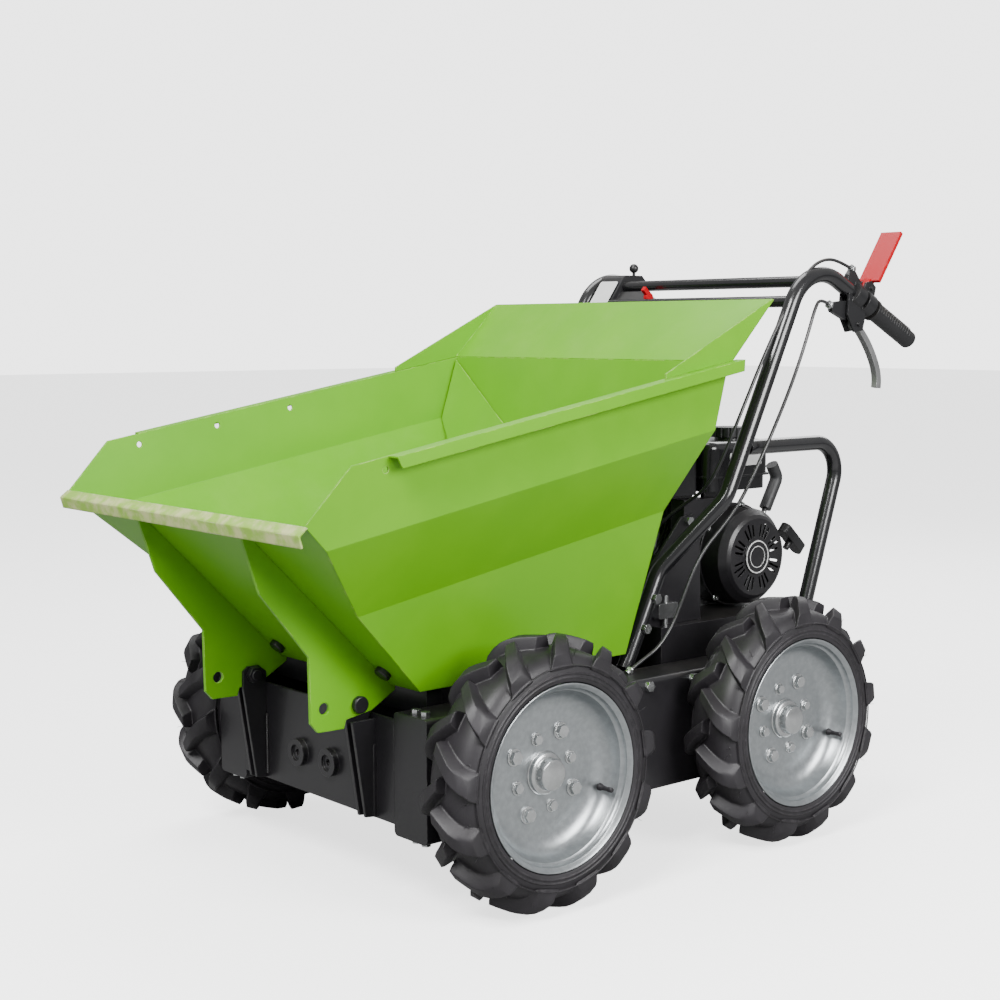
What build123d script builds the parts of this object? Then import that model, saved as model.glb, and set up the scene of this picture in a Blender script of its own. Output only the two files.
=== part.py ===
"""Power wheelbarrow: a four-wheeled petrol mini dumper with a forward-tipping steel skip.

Millimetres. +X is forwards (the lip the load slides over), +Y is the machine's left, +Z is up.
The origin is on the ground, midway between the front of the lip and the ends of the grips.
"""
import os
from math import atan2, cos, hypot, pi, radians, sin, tan

from build123d import *

os.makedirs("parts", exist_ok=True)

# ---------------------------------------------------------------- driving dimensions
WHEELBASE = 540.0
AXLE_MID_X = 18.0
TRACK = 701.0
HUB_Z = 206.0

TYRE_DIA = 412.0
TYRE_WIDTH = 99.0
LUG_HEIGHT = 19.0
LUG_COUNT = 13
RIM_DIA = 280.0
RIM_SHEET = 3.5
DISC_DEPTH = 46.0
WHEEL_PCD = 112.0
WHEEL_BOLT_DIA = 12.0
WHEEL_BOLT_HOLE = 12.6
AXLE_DIA = 25.0
RUNNING_GAP = 0.05
BODY_GAP = 0.5
KEY_FIT = 0.05

SHEET = 3.0
SKIP_FLOOR_Z = 323.0
SKIP_RIM_HALF = 345.0
SKIP_FOLD_HALF = 337.0
SKIP_WAIST_HALF = 250.0
RIM_FRONT_X = 621.0
RIM_FRONT_Z = 675.0
RIM_SLOPE = 0.1755
LIP_X = 692.5
LIP_Z = 599.0
LIP_NOSE = 13.5
LIP_DROP = 18.0
FOLD_DROP = 105.5
WAIST_DROP = 236.0
LOWER_TAPER = 0.17
REAR_WALL_X = -109.0
REAR_WALL_LEAN = 0.197
REAR_WALL_REF_Z = 775.0
SKIP_REAR_Z = 804.0
CHUTE_RUN = 102.0
CHUTE_RISE = 100.0
WING_FRONT_X = 32.0
FLANGE_WIDTH = 20.0
FLANGE_DROP = 18.0

PIVOT_X = 476.0
PIVOT_Z = 301.0
PIVOT_HALF = 149.0
PIVOT_BOLT_DIA = 16.0
BRACKET_SHEET = 6.0
SPARE_HOLE_X = 538.0
SPARE_HOLE_Z = 303.0
SPARE_HOLE_DIA = 18.0

CASE_FRONT_X = 452.0
CASE_REAR_X = -416.0
CASE_INNER_Y = 206.0
CASE_OUTER_Y = 285.0
CASE_BOTTOM_Z = 110.0
CASE_TOP_Z = 296.0
CASE_WALL = 4.0

TUB_BOTTOM_Z = 126.0
TUB_TOP_Z = 284.0
TUB_SHEET = 5.0
BED_FRONT_X = -109.0
BED_REAR_X = -470.0
BED_TOP_Z = 355.0

TUBE_DIA = 28.0
HANDLE_HALF = 262.0
FOOT_HALF = 200.0
HANDLE_REF_X = -201.5
HANDLE_REF_Z = 570.5
FOOT_SHIFT = 35.5
HANDLE_RAKE = 0.5
JOG_LOW_Z = 452.0
JOG_HIGH_Z = 573.0
GRIP_END_X = -698.5
GRIP_END_Z = 834.5
GRIP_SLOPE = 0.5
GRIP_DIA = 33.0
GRIP_LENGTH = 128.0

CRANK_X = -377.5
CRANK_Z = 450.0
RECOIL_FRONT_Y = 180.0
RECOIL_DIA = 176.0
RECOIL_FACE_DIA = 138.0
FAN_HOUSING_DIA = 186.0

front_axle_x = AXLE_MID_X + WHEELBASE / 2
rear_axle_x = AXLE_MID_X - WHEELBASE / 2
wheel_y = TRACK / 2


# ---------------------------------------------------------------- planes and shared shapes
def side_plane(y):
    """A plane facing the machine's right at this y, with local axes X and Z."""
    return Plane(origin=(0, y, 0), x_dir=(1, 0, 0), z_dir=(0, -1, 0))


def cross_plane(x):
    """A plane facing forwards at this x, with local axes Y and Z."""
    return Plane(origin=(x, 0, 0), x_dir=(0, 1, 0), z_dir=(1, 0, 0))


def side_plate(points, y, thickness):
    """A flat plate with this X-Z outline, its middle at y."""
    with BuildSketch(side_plane(y)) as outline:
        with BuildLine():
            Polyline(*points, close=True)
        make_face()
    extrude(outline.sketch, amount=thickness / 2, both=True)


def y_disc(x, y, z, radius, length, mode=Mode.ADD):
    """A cylinder along Y, its middle at (x, y, z)."""
    with BuildSketch(side_plane(y)) as outline:
        with Locations((x, z)):
            Circle(radius)
    extrude(outline.sketch, amount=length / 2, both=True, mode=mode)


def y_hexagon(x, y, z, across_flats, length):
    """A hexagonal bolt head along Y, its middle at (x, y, z)."""
    with BuildSketch(side_plane(y)) as outline:
        with Locations((x, z)):
            RegularPolygon(across_flats / 2, 6, major_radius=False)
    extrude(outline.sketch, amount=length / 2, both=True)


def tube_run(points, radii, diameter, bore=0.0):
    """A round tube along straight runs joined by tangent bends."""
    with BuildLine() as path:
        FilletPolyline(*points, radius=radii)
    with BuildSketch(Plane(origin=path.line @ 0, z_dir=path.line % 0)) as section:
        Circle(diameter / 2)
        if bore:
            Circle(bore / 2, mode=Mode.SUBTRACT)
    sweep(section.sketch, path=path.line)


def export(builder, name):
    """Labels a finished piece and writes it."""
    builder.part.label = name
    export_step(builder.part, f"parts/{name}.step")


# ---------------------------------------------------------------- skip
rim_angle = atan2(RIM_SLOPE, 1.0)
lip_line = LIP_X - LIP_Z


def rim_z(x):
    """Height of the skip's rim line at this x."""
    return RIM_FRONT_Z + (RIM_FRONT_X - x) * RIM_SLOPE


def rear_wall_x(z):
    """Outer face of the skip's rear wall at this height."""
    return REAR_WALL_X + REAR_WALL_LEAN * (REAR_WALL_REF_Z - z)


rim_rear_x = (
    REAR_WALL_X + REAR_WALL_LEAN * (REAR_WALL_REF_Z - RIM_FRONT_Z - RIM_FRONT_X * RIM_SLOPE)
) / (1 - REAR_WALL_LEAN * RIM_SLOPE)
rim_rear_z = rim_z(rim_rear_x)
floor_front_x = lip_line + SKIP_FLOOR_Z
floor_rear_x = rear_wall_x(SKIP_FLOOR_Z)
slope_inset = SHEET * 2**0.5
wall_inset = SHEET * hypot(1, REAR_WALL_LEAN)
inner_floor_z = SKIP_FLOOR_Z + SHEET


def band_plane():
    """A plane square to the rim line, with local axes Y and the height above the rim."""
    return Plane(
        origin=(RIM_FRONT_X, 0, RIM_FRONT_Z),
        x_dir=(0, 1, 0),
        z_dir=(cos(rim_angle), 0, -sin(rim_angle)),
    )


def band_half(inset):
    """Half of the skip's cross-section: rim, upper fold, waist fold and the lower band."""
    drop = cos(rim_angle)
    deep = -(WAIST_DROP + 380) * drop
    lower_half = SKIP_WAIST_HALF - 380 * LOWER_TAPER
    return [
        (SKIP_RIM_HALF - inset, 160),
        (SKIP_RIM_HALF - inset, 0),
        (SKIP_FOLD_HALF - inset, -FOLD_DROP * drop),
        (SKIP_WAIST_HALF - inset * 1.1, -WAIST_DROP * drop),
        (lower_half - inset, deep),
    ]


def keep_inside_bands(inset):
    """Trims the current part to the space between the skip's side panels."""
    right = [(-y, v) for y, v in reversed(band_half(inset))]
    with BuildSketch(band_plane()) as section:
        with BuildLine():
            Polyline(*band_half(inset), *right, close=True)
        make_face()
    extrude(section.sketch, amount=1200, both=True, mode=Mode.INTERSECT)


with BuildPart() as skip_sides:
    with BuildSketch(band_plane()):
        for sign in (1, -1):
            outer = [(sign * y, v) for y, v in band_half(0)]
            inner = [(sign * y, v) for y, v in reversed(band_half(SHEET))]
            with BuildLine():
                Polyline(*outer, *inner, close=True)
            make_face()
    extrude(amount=1200, both=True)
    with BuildSketch(side_plane(0)):
        with BuildLine():
            Polyline(
                (RIM_FRONT_X, RIM_FRONT_Z),
                (LIP_X, LIP_Z),
                (floor_front_x, SKIP_FLOOR_Z),
                (floor_rear_x, SKIP_FLOOR_Z),
                (rim_rear_x, rim_rear_z),
                close=True,
            )
        make_face()
    extrude(amount=500, both=True, mode=Mode.INTERSECT)
    for step in range(3):
        hole_x = 564 - 148 * step
        with BuildSketch(side_plane(0)):
            with Locations((hole_x, rim_z(hole_x) - 18)):
                Circle(5)
        extrude(amount=500, both=True, mode=Mode.SUBTRACT)
export(skip_sides, "skip_sides")

with BuildPart() as skip_front:
    side_plate(
        [
            (LIP_X, LIP_Z),
            (floor_front_x, SKIP_FLOOR_Z),
            (lip_line + inner_floor_z - slope_inset, inner_floor_z),
            (LIP_X - slope_inset, LIP_Z),
        ],
        0,
        2 * SKIP_RIM_HALF,
    )
    keep_inside_bands(SHEET)
export(skip_front, "skip_front")

with BuildPart() as skip_floor:
    side_plate(
        [
            (floor_front_x, SKIP_FLOOR_Z),
            (floor_rear_x, SKIP_FLOOR_Z),
            (rear_wall_x(inner_floor_z) + wall_inset, inner_floor_z),
            (lip_line + inner_floor_z - slope_inset, inner_floor_z),
        ],
        0,
        2 * SKIP_RIM_HALF,
    )
    keep_inside_bands(SHEET)
export(skip_floor, "skip_floor")

with BuildPart() as skip_rear:
    side_plate(
        [
            (floor_rear_x, SKIP_FLOOR_Z),
            (rear_wall_x(SKIP_REAR_Z), SKIP_REAR_Z),
            (rear_wall_x(SKIP_REAR_Z) + wall_inset, SKIP_REAR_Z),
            (rear_wall_x(inner_floor_z) + wall_inset, inner_floor_z),
        ],
        0,
        2 * SKIP_RIM_HALF,
    )
    keep_inside_bands(SHEET)
export(skip_rear, "skip_rear")

# The lip is a folded strip: a short nose ahead of the slope and a flange turned down from it.
lip_nose_x = LIP_X + LIP_NOSE
lip_nose_z = LIP_Z - LIP_NOSE * 0.75
with BuildPart() as skip_lip:
    side_plate(
        [
            (LIP_X, LIP_Z),
            (lip_nose_x - SHEET / 2, lip_nose_z + 1),
            (lip_nose_x, lip_nose_z - 1),
            (lip_nose_x - 5, lip_nose_z - LIP_DROP),
            (lip_nose_x - 5 - SHEET, lip_nose_z - LIP_DROP + 1),
            (lip_nose_x - SHEET - 0.8, lip_nose_z - 2.5),
            (LIP_X - SHEET * 0.6, LIP_Z - SHEET * 0.6),
        ],
        0,
        2 * (SKIP_RIM_HALF - 1),
    )
export(skip_lip, "skip_lip")

# Each rim carries an outward flange that is turned down at its edge.
flange_front_x = 559
flange_rear_x = rim_rear_x - 19
with BuildPart() as rim_flanges:
    with BuildSketch(band_plane()):
        with BuildLine():
            Polyline(
                (SKIP_RIM_HALF, 0),
                (SKIP_RIM_HALF + FLANGE_WIDTH, 0),
                (SKIP_RIM_HALF + FLANGE_WIDTH, -FLANGE_DROP),
                (SKIP_RIM_HALF + FLANGE_WIDTH - SHEET, -FLANGE_DROP),
                (SKIP_RIM_HALF + FLANGE_WIDTH - SHEET, -SHEET),
                (SKIP_RIM_HALF, -SHEET),
                close=True,
            )
        make_face()
    extrude(amount=1000, both=True)
    with BuildSketch(side_plane(0)):
        with BuildLine():
            Polyline(
                (flange_front_x, rim_z(flange_front_x) + 30),
                (flange_front_x, rim_z(flange_front_x) - 2),
                (flange_front_x - 22, rim_z(flange_front_x) - 40),
                (flange_rear_x + 5, rim_z(flange_rear_x) - 40),
                (flange_rear_x, rim_z(flange_rear_x) + 30),
                close=True,
            )
        make_face()
    extrude(amount=500, both=True, mode=Mode.INTERSECT)
    mirror(about=Plane.XZ)
export(rim_flanges, "rim_flanges")

# The chute board leans back from the rear wall between two triangular wings.
chute_foot_x = rear_wall_x(SKIP_REAR_Z)
chute_top_x = chute_foot_x - CHUTE_RUN
chute_top_z = SKIP_REAR_Z + CHUTE_RISE
wing_out = SKIP_RIM_HALF + SHEET + BODY_GAP
with BuildPart() as chute:
    side_plate(
        [
            (chute_foot_x, SKIP_REAR_Z),
            (chute_foot_x + wall_inset, SKIP_REAR_Z),
            (chute_foot_x + wall_inset, SKIP_REAR_Z + 1),
            (chute_top_x + SHEET, chute_top_z),
            (chute_top_x - 1, chute_top_z - 1),
        ],
        0,
        2 * wing_out,
    )
    for sign in (1, -1):
        side_plate(
            [
                (WING_FRONT_X, rim_z(WING_FRONT_X) + 0.2),
                (WING_FRONT_X, rim_z(WING_FRONT_X) + 8),
                (chute_top_x + SHEET, chute_top_z),
                (chute_top_x - 1, chute_top_z - 1),
                (chute_foot_x - 6, SKIP_REAR_Z + 1),
                (rim_rear_x, rim_rear_z + 0.2),
            ],
            sign * (wing_out - SHEET / 2),
            SHEET,
        )
export(chute, "chute")

# A flat plate closes each rear corner inside the skip, from the rim down past the walls' fold.
gusset_low_z = rim_rear_z - 160
gusset_back_y = 118.0
gusset_side_y = 296.0
with BuildPart() as corner_gussets:
    for sign in (1, -1):
        top = Vector(rim_rear_x + wall_inset + 6, sign * (SKIP_RIM_HALF - SHEET - 5), rim_rear_z - 6)
        fold = top + Vector(40, -sign * (SKIP_RIM_HALF - SKIP_FOLD_HALF - 2), -108)
        back = Vector(rear_wall_x(gusset_low_z) + wall_inset + 1.5, sign * gusset_back_y, gusset_low_z)
        across = (fold - top).cross(back - top)
        side_drop = across.Y * (sign * gusset_side_y - top.Y) + across.Z * (gusset_low_z - top.Z)
        side = Vector(top.X - side_drop / across.X, sign * gusset_side_y, gusset_low_z)
        facing = Plane(origin=top, x_dir=fold - top, z_dir=across)
        flat = [facing.to_local_coords(corner) for corner in (top, fold, side, back)]
        with BuildSketch(facing):
            with BuildLine():
                Polyline(*[(p.X, p.Y) for p in flat], close=True)
            make_face()
        extrude(amount=SHEET / 2, both=True)
export(corner_gussets, "corner_gussets")

# Two ribs under the front slope carry the skip on its pivot bolts.
rib_top_x = 679
bracket_outline = [
    (rib_top_x, rib_top_x - lip_line - 0.2),
    (645, 483),
    (563, 382),
    (561, 283),
    (549, 269),
    (503, 268),
    (499, 281),
    (452, 289),
    (SKIP_FLOOR_Z + lip_line - 8, 314),
    (SKIP_FLOOR_Z + lip_line - 8, SKIP_FLOOR_Z - 0.2),
    (SKIP_FLOOR_Z + lip_line, SKIP_FLOOR_Z - 0.2),
]
with BuildPart() as pivot_brackets:
    side_plate(bracket_outline, PIVOT_HALF, BRACKET_SHEET)
    y_disc(PIVOT_X, PIVOT_HALF, PIVOT_Z, PIVOT_BOLT_DIA / 2 + RUNNING_GAP, 40, Mode.SUBTRACT)
    y_disc(SPARE_HOLE_X, PIVOT_HALF, SPARE_HOLE_Z, SPARE_HOLE_DIA / 2, 40, Mode.SUBTRACT)
    mirror(about=Plane.XZ)
export(pivot_brackets, "pivot_brackets")

slope_normal = Vector(1, 0, -1).normalized()
with BuildPart() as stop_bolts:
    for bolt_y in (171, -116):
        seat = Vector(442.6, bolt_y, 442.4 - lip_line)
        with BuildSketch(Plane(origin=seat, z_dir=slope_normal)):
            Circle(13)
        extrude(amount=9)
    fillet(stop_bolts.faces().group_by(Axis.Z)[0].edges(), 2.5)
export(stop_bolts, "stop_bolts")

# ---------------------------------------------------------------- chassis
front_sheet = 5.0
front_face_x = CASE_FRONT_X

with BuildPart() as chassis_tub:
    with BuildSketch(cross_plane(CASE_REAR_X)):
        with BuildLine():
            Polyline(
                (-CASE_INNER_Y, TUB_TOP_Z),
                (-CASE_INNER_Y, TUB_BOTTOM_Z),
                (CASE_INNER_Y, TUB_BOTTOM_Z),
                (CASE_INNER_Y, TUB_TOP_Z),
                (CASE_INNER_Y - TUB_SHEET, TUB_TOP_Z),
                (CASE_INNER_Y - TUB_SHEET, TUB_BOTTOM_Z + TUB_SHEET),
                (-CASE_INNER_Y + TUB_SHEET, TUB_BOTTOM_Z + TUB_SHEET),
                (-CASE_INNER_Y + TUB_SHEET, TUB_TOP_Z),
                close=True,
            )
        make_face()
    extrude(amount=CASE_FRONT_X - front_sheet - CASE_REAR_X)
    with BuildSketch(cross_plane(CASE_REAR_X)):
        with BuildLine():
            Polyline(
                (-CASE_INNER_Y + TUB_SHEET, TUB_BOTTOM_Z + TUB_SHEET),
                (CASE_INNER_Y - TUB_SHEET, TUB_BOTTOM_Z + TUB_SHEET),
                (CASE_INNER_Y - TUB_SHEET, TUB_TOP_Z),
                (-CASE_INNER_Y + TUB_SHEET, TUB_TOP_Z),
                close=True,
            )
        make_face()
    extrude(amount=TUB_SHEET)
    for rest_x in (60, 360):
        with BuildSketch(cross_plane(rest_x)):
            with Locations((0, (TUB_TOP_Z + SKIP_FLOOR_Z) / 2 - 3)):
                Rectangle(2 * CASE_INNER_Y - 2, SKIP_FLOOR_Z - TUB_TOP_Z + 5 - 2 * BODY_GAP)
        extrude(amount=30)
    y_disc(rear_axle_x, 0, HUB_Z, AXLE_DIA / 2 + 4, 2 * CASE_INNER_Y + 10, Mode.SUBTRACT)
export(chassis_tub, "chassis_tub")

with BuildPart() as front_plate:
    with BuildSketch(cross_plane(CASE_FRONT_X - front_sheet)):
        with Locations((0, (TUB_TOP_Z + TUB_BOTTOM_Z) / 2)):
            Rectangle(2 * CASE_INNER_Y, TUB_TOP_Z - TUB_BOTTOM_Z)
    extrude(amount=front_sheet)
    for boss_y in (-42, 43):
        with BuildSketch(cross_plane(CASE_FRONT_X)):
            with Locations((boss_y, 188)):
                Circle(22)
        extrude(amount=10)
        with BuildSketch(cross_plane(CASE_FRONT_X + 10)):
            with Locations((boss_y, 188)):
                Circle(13)
        extrude(amount=-4, mode=Mode.SUBTRACT)
        with BuildSketch(cross_plane(CASE_FRONT_X + 6)):
            with Locations((boss_y, 188)):
                RegularPolygon(6, 6)
        extrude(amount=-5, mode=Mode.SUBTRACT)
export(front_plate, "front_plate")

# Each pivot post is a slanting channel that stands on the front plate beside its bracket.
post_sheet = 5.0
post_inner = PIVOT_HALF - BRACKET_SHEET / 2 - BODY_GAP
post_outline = [
    (front_face_x, TUB_BOTTOM_Z + 2),
    (front_face_x + 20, TUB_BOTTOM_Z + 4),
    (PIVOT_X + 19, TUB_TOP_Z - 6),
    (PIVOT_X + 19, PIVOT_Z + 6),
    (PIVOT_X + 10, PIVOT_Z + 13),
    (PIVOT_X - 10, PIVOT_Z + 13),
    (front_face_x, PIVOT_Z + 2),
]
with BuildPart() as pivot_posts:
    side_plate(post_outline, post_inner - post_sheet / 2, post_sheet)
    side_plate(post_outline[:3] + [(front_face_x, TUB_TOP_Z - 6)], post_inner + 14, post_sheet)
    with BuildSketch(cross_plane(front_face_x)):
        with Locations((post_inner + 6, TUB_BOTTOM_Z + 57)):
            Rectangle(22, 110)
    extrude(amount=post_sheet)
    y_disc(PIVOT_X, post_inner, PIVOT_Z, PIVOT_BOLT_DIA / 2, 40, Mode.SUBTRACT)
    mirror(about=Plane.XZ)
export(pivot_posts, "pivot_posts")

with BuildPart() as pivot_bolts:
    shank = BRACKET_SHEET + post_sheet + 14
    y_disc(PIVOT_X, PIVOT_HALF + 4 - shank / 2, PIVOT_Z, PIVOT_BOLT_DIA / 2, shank)
    y_disc(PIVOT_X, PIVOT_HALF + BRACKET_SHEET / 2 + BODY_GAP + 4, PIVOT_Z, 13, 8)
    y_hexagon(PIVOT_X, post_inner - post_sheet - 5.1, PIVOT_Z, 24, 10)
    fillet(pivot_bolts.faces().sort_by(Axis.Y)[-1].edges(), 2.5)
    mirror(about=Plane.XZ)
export(pivot_bolts, "pivot_bolts")

case_mid_y = (CASE_INNER_Y + CASE_OUTER_Y) / 2
case_mid_z = (CASE_BOTTOM_Z + CASE_TOP_Z) / 2
bearing_outer = 26.0
with BuildPart() as chain_cases:
    with BuildSketch(cross_plane(CASE_REAR_X)):
        with Locations((case_mid_y, case_mid_z)):
            RectangleRounded(CASE_OUTER_Y - CASE_INNER_Y, CASE_TOP_Z - CASE_BOTTOM_Z, 8)
    extrude(amount=CASE_FRONT_X - CASE_REAR_X)
    with BuildSketch(cross_plane(CASE_REAR_X + CASE_WALL)):
        with Locations((case_mid_y, case_mid_z)):
            RectangleRounded(
                CASE_OUTER_Y - CASE_INNER_Y - 2 * CASE_WALL,
                CASE_TOP_Z - CASE_BOTTOM_Z - 2 * CASE_WALL,
                4,
            )
    extrude(amount=CASE_FRONT_X - CASE_REAR_X - 2 * CASE_WALL, mode=Mode.SUBTRACT)
    for axle_x in (front_axle_x, rear_axle_x):
        y_disc(axle_x, CASE_OUTER_Y, HUB_Z, bearing_outer, 20, Mode.SUBTRACT)
    y_disc(rear_axle_x, CASE_INNER_Y, HUB_Z, AXLE_DIA / 2 + 4, 20, Mode.SUBTRACT)
    mirror(about=Plane.XZ)
export(chain_cases, "chain_cases")

with BuildPart() as axle_bearings:
    for axle_x in (front_axle_x, rear_axle_x):
        y_disc(axle_x, CASE_OUTER_Y + 2, HUB_Z, bearing_outer, 16)
        y_disc(axle_x, CASE_OUTER_Y + 4, HUB_Z, 44, 8)
        y_disc(axle_x, CASE_OUTER_Y, HUB_Z, AXLE_DIA / 2 + RUNNING_GAP, 40, Mode.SUBTRACT)
    mirror(about=Plane.XZ)
export(axle_bearings, "axle_bearings")

# A roller chain in each case ties the front and the rear wheel of that side together.
sprocket_radius = 48.0
chain_thick = 9.0
with BuildPart() as drive_chains:
    for inset, mode in ((chain_thick + BODY_GAP, Mode.ADD), (BODY_GAP, Mode.SUBTRACT)):
        with BuildSketch(side_plane(case_mid_y)):
            with Locations((front_axle_x, HUB_Z), (rear_axle_x, HUB_Z)):
                Circle(sprocket_radius + inset)
            with Locations((AXLE_MID_X, HUB_Z)):
                Rectangle(WHEELBASE, 2 * (sprocket_radius + inset))
        extrude(amount=7, both=True, mode=mode)
    mirror(about=Plane.XZ)
export(drive_chains, "drive_chains")

# The engine stands on a folded bed, slotted on the right for the drive belt.
belt_y = -150.0
belt_slot = 34.0
bed_length = BED_FRONT_X - BED_REAR_X
with BuildPart() as engine_bed:
    with BuildSketch(cross_plane(BED_REAR_X)):
        with BuildLine():
            Polyline(
                (-CASE_INNER_Y, TUB_TOP_Z),
                (-CASE_INNER_Y, BED_TOP_Z),
                (CASE_INNER_Y, BED_TOP_Z),
                (CASE_INNER_Y, TUB_TOP_Z),
                (CASE_INNER_Y - TUB_SHEET, TUB_TOP_Z),
                (CASE_INNER_Y - TUB_SHEET, BED_TOP_Z - TUB_SHEET),
                (-CASE_INNER_Y + TUB_SHEET, BED_TOP_Z - TUB_SHEET),
                (-CASE_INNER_Y + TUB_SHEET, TUB_TOP_Z),
                close=True,
            )
        make_face()
    extrude(amount=bed_length)
    for end_x in (BED_REAR_X, BED_FRONT_X - TUB_SHEET):
        with BuildSketch(cross_plane(end_x)):
            with Locations((0, (TUB_TOP_Z + BED_TOP_Z - TUB_SHEET) / 2)):
                Rectangle(2 * (CASE_INNER_Y - TUB_SHEET), BED_TOP_Z - TUB_SHEET - TUB_TOP_Z)
        extrude(amount=TUB_SHEET)
    with BuildSketch(Plane.XY.offset(BED_TOP_Z)):
        with Locations(((CRANK_X + rear_axle_x + 62) / 2, belt_y)):
            Rectangle(190, belt_slot)
    extrude(amount=-2 * TUB_SHEET, mode=Mode.SUBTRACT)
export(engine_bed, "engine_bed")

# The gearbox sits over the rear axle line, so its output shafts are the rear wheels' axles.
gear_half_y = 84.0
gear_input_x = rear_axle_x + 62
gear_input_z = HUB_Z + 60
gear_shaft_r = 9.0
with BuildPart() as gearbox_case:
    with BuildSketch(side_plane(0)):
        with Locations((rear_axle_x + 20, HUB_Z + 20)):
            RectangleRounded(190, 164, 22)
    extrude(amount=gear_half_y, both=True)
    with BuildSketch(side_plane(0)):
        with Locations((rear_axle_x, HUB_Z)):
            Circle(38)
    extrude(amount=gear_half_y + 12, both=True)
    y_disc(rear_axle_x, 0, HUB_Z, AXLE_DIA / 2 + RUNNING_GAP, 2 * gear_half_y + 60, Mode.SUBTRACT)
    y_disc(gear_input_x, -gear_half_y, gear_input_z, gear_shaft_r + RUNNING_GAP, 60, Mode.SUBTRACT)
export(gearbox_case, "gearbox_case")

# ---------------------------------------------------------------- wheels
rim_r = RIM_DIA / 2
tyre_r = TYRE_DIA / 2
half_width = TYRE_WIDTH / 2
flange_y = half_width + 0.5
disc_y = flange_y - DISC_DEPTH
seat_r = rim_r - 13
hub_flange = 7.0
hub_y = disc_y - RIM_SHEET - hub_flange


def wheel_plane():
    """The plane that a wheel's section is drawn on: local X outboard along Y, local Y radial."""
    return Plane(origin=(0, 0, 0), x_dir=(0, 1, 0), z_dir=(1, 0, 0))


with BuildPart() as tyre:
    carcass_r = tyre_r - LUG_HEIGHT
    with BuildSketch(wheel_plane()):
        with BuildLine():
            Polyline(
                (-half_width + 1, rim_r + 2),
                (-half_width - 1.5, rim_r + 18),
                (-half_width + 3, carcass_r - 12),
                (-half_width + 18, carcass_r),
                (half_width - 18, carcass_r),
                (half_width - 3, carcass_r - 12),
                (half_width + 1.5, rim_r + 18),
                (half_width - 1, rim_r + 2),
                (half_width - 4, seat_r + 4),
                (half_width - 16, seat_r + 4),
                (half_width - 12, rim_r + 20),
                (half_width - 16, carcass_r - 18),
                (-half_width + 16, carcass_r - 18),
                (-half_width + 12, rim_r + 20),
                (-half_width + 16, seat_r + 4),
                (-half_width + 4, seat_r + 4),
                close=True,
            )
        make_face()
    revolve(axis=Axis.Y)

with BuildPart() as lug_band:
    with BuildSketch(wheel_plane()):
        with BuildLine():
            Polyline(
                (-half_width - 1, carcass_r - 26),
                (-half_width + 1, tyre_r - 12),
                (-half_width + 7, tyre_r - 3),
                (-half_width + 20, tyre_r),
                (half_width - 20, tyre_r),
                (half_width - 7, tyre_r - 3),
                (half_width - 1, tyre_r - 12),
                (half_width + 1, carcass_r - 26),
                (half_width - 8, carcass_r - 26),
                (half_width - 22, carcass_r - 2),
                (-half_width + 22, carcass_r - 2),
                (-half_width + 8, carcass_r - 26),
                close=True,
            )
        make_face()
    revolve(axis=Axis.Y)

with BuildPart() as lug_bars:
    for side in (1, -1):
        for count in range(LUG_COUNT):
            turn = 360 / LUG_COUNT * (count + (0.25 if side > 0 else 0.75)) - 90 - 360 / LUG_COUNT / 4
            bar_place = Location((0, 0, 0), (0, turn, 0)) * Location((tyre_r - 20, side * 24, 0), (side * 38, 0, 0))
            with Locations(bar_place):
                Box(70, 66, 22)

with BuildPart() as tyre_lugs:
    add(lug_band.part)
    add(lug_bars.part, mode=Mode.INTERSECT)

with BuildPart() as rim:
    with BuildSketch(wheel_plane()):
        with BuildLine():
            Polyline(
                (flange_y, rim_r - 4),
                (flange_y, rim_r),
                (flange_y - 3, rim_r),
                (flange_y - 6, seat_r + 3.4),
                (flange_y - 20, seat_r + 3),
                (flange_y - 24, seat_r - 9),
                (-flange_y + 24, seat_r - 9),
                (-flange_y + 20, seat_r + 3),
                (-flange_y + 6, seat_r + 3.4),
                (-flange_y + 3, rim_r),
                (-flange_y, rim_r),
                (-flange_y, rim_r - 4),
                (-flange_y + 4, seat_r),
                (-flange_y + 18, seat_r - 1),
                (-flange_y + 22, seat_r - 9 - RIM_SHEET),
                (disc_y - RIM_SHEET, seat_r - 9 - RIM_SHEET),
                (disc_y - RIM_SHEET - 5, seat_r - 24),
                (disc_y - RIM_SHEET, seat_r - 40),
                (disc_y - RIM_SHEET, 19),
                (disc_y, 19),
                (disc_y, seat_r - 42),
                (disc_y - 5, seat_r - 26),
                (disc_y + 6, seat_r - 9 - RIM_SHEET),
                (flange_y - 22, seat_r - 9 - RIM_SHEET),
                (flange_y - 18, seat_r - 1),
                (flange_y - 4, seat_r),
                close=True,
            )
        make_face()
    revolve(axis=Axis.Y)
    with BuildSketch(side_plane(disc_y)):
        with PolarLocations(WHEEL_PCD / 2, 4, start_angle=45):
            Circle(WHEEL_BOLT_HOLE / 2)
        with PolarLocations(WHEEL_PCD / 2, 4):
            Circle(4.5)
    extrude(amount=20, both=True, mode=Mode.SUBTRACT)

# The hub, its flange and the axle are one forging; the bolts are fast in the flange.
boss_depth = 24.0
axle_seat = 14.0
front_axle_end = CASE_INNER_Y + CASE_WALL + 3 - wheel_y
rear_axle_end = gear_half_y - 40 - wheel_y
cap_y = disc_y + 20


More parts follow.
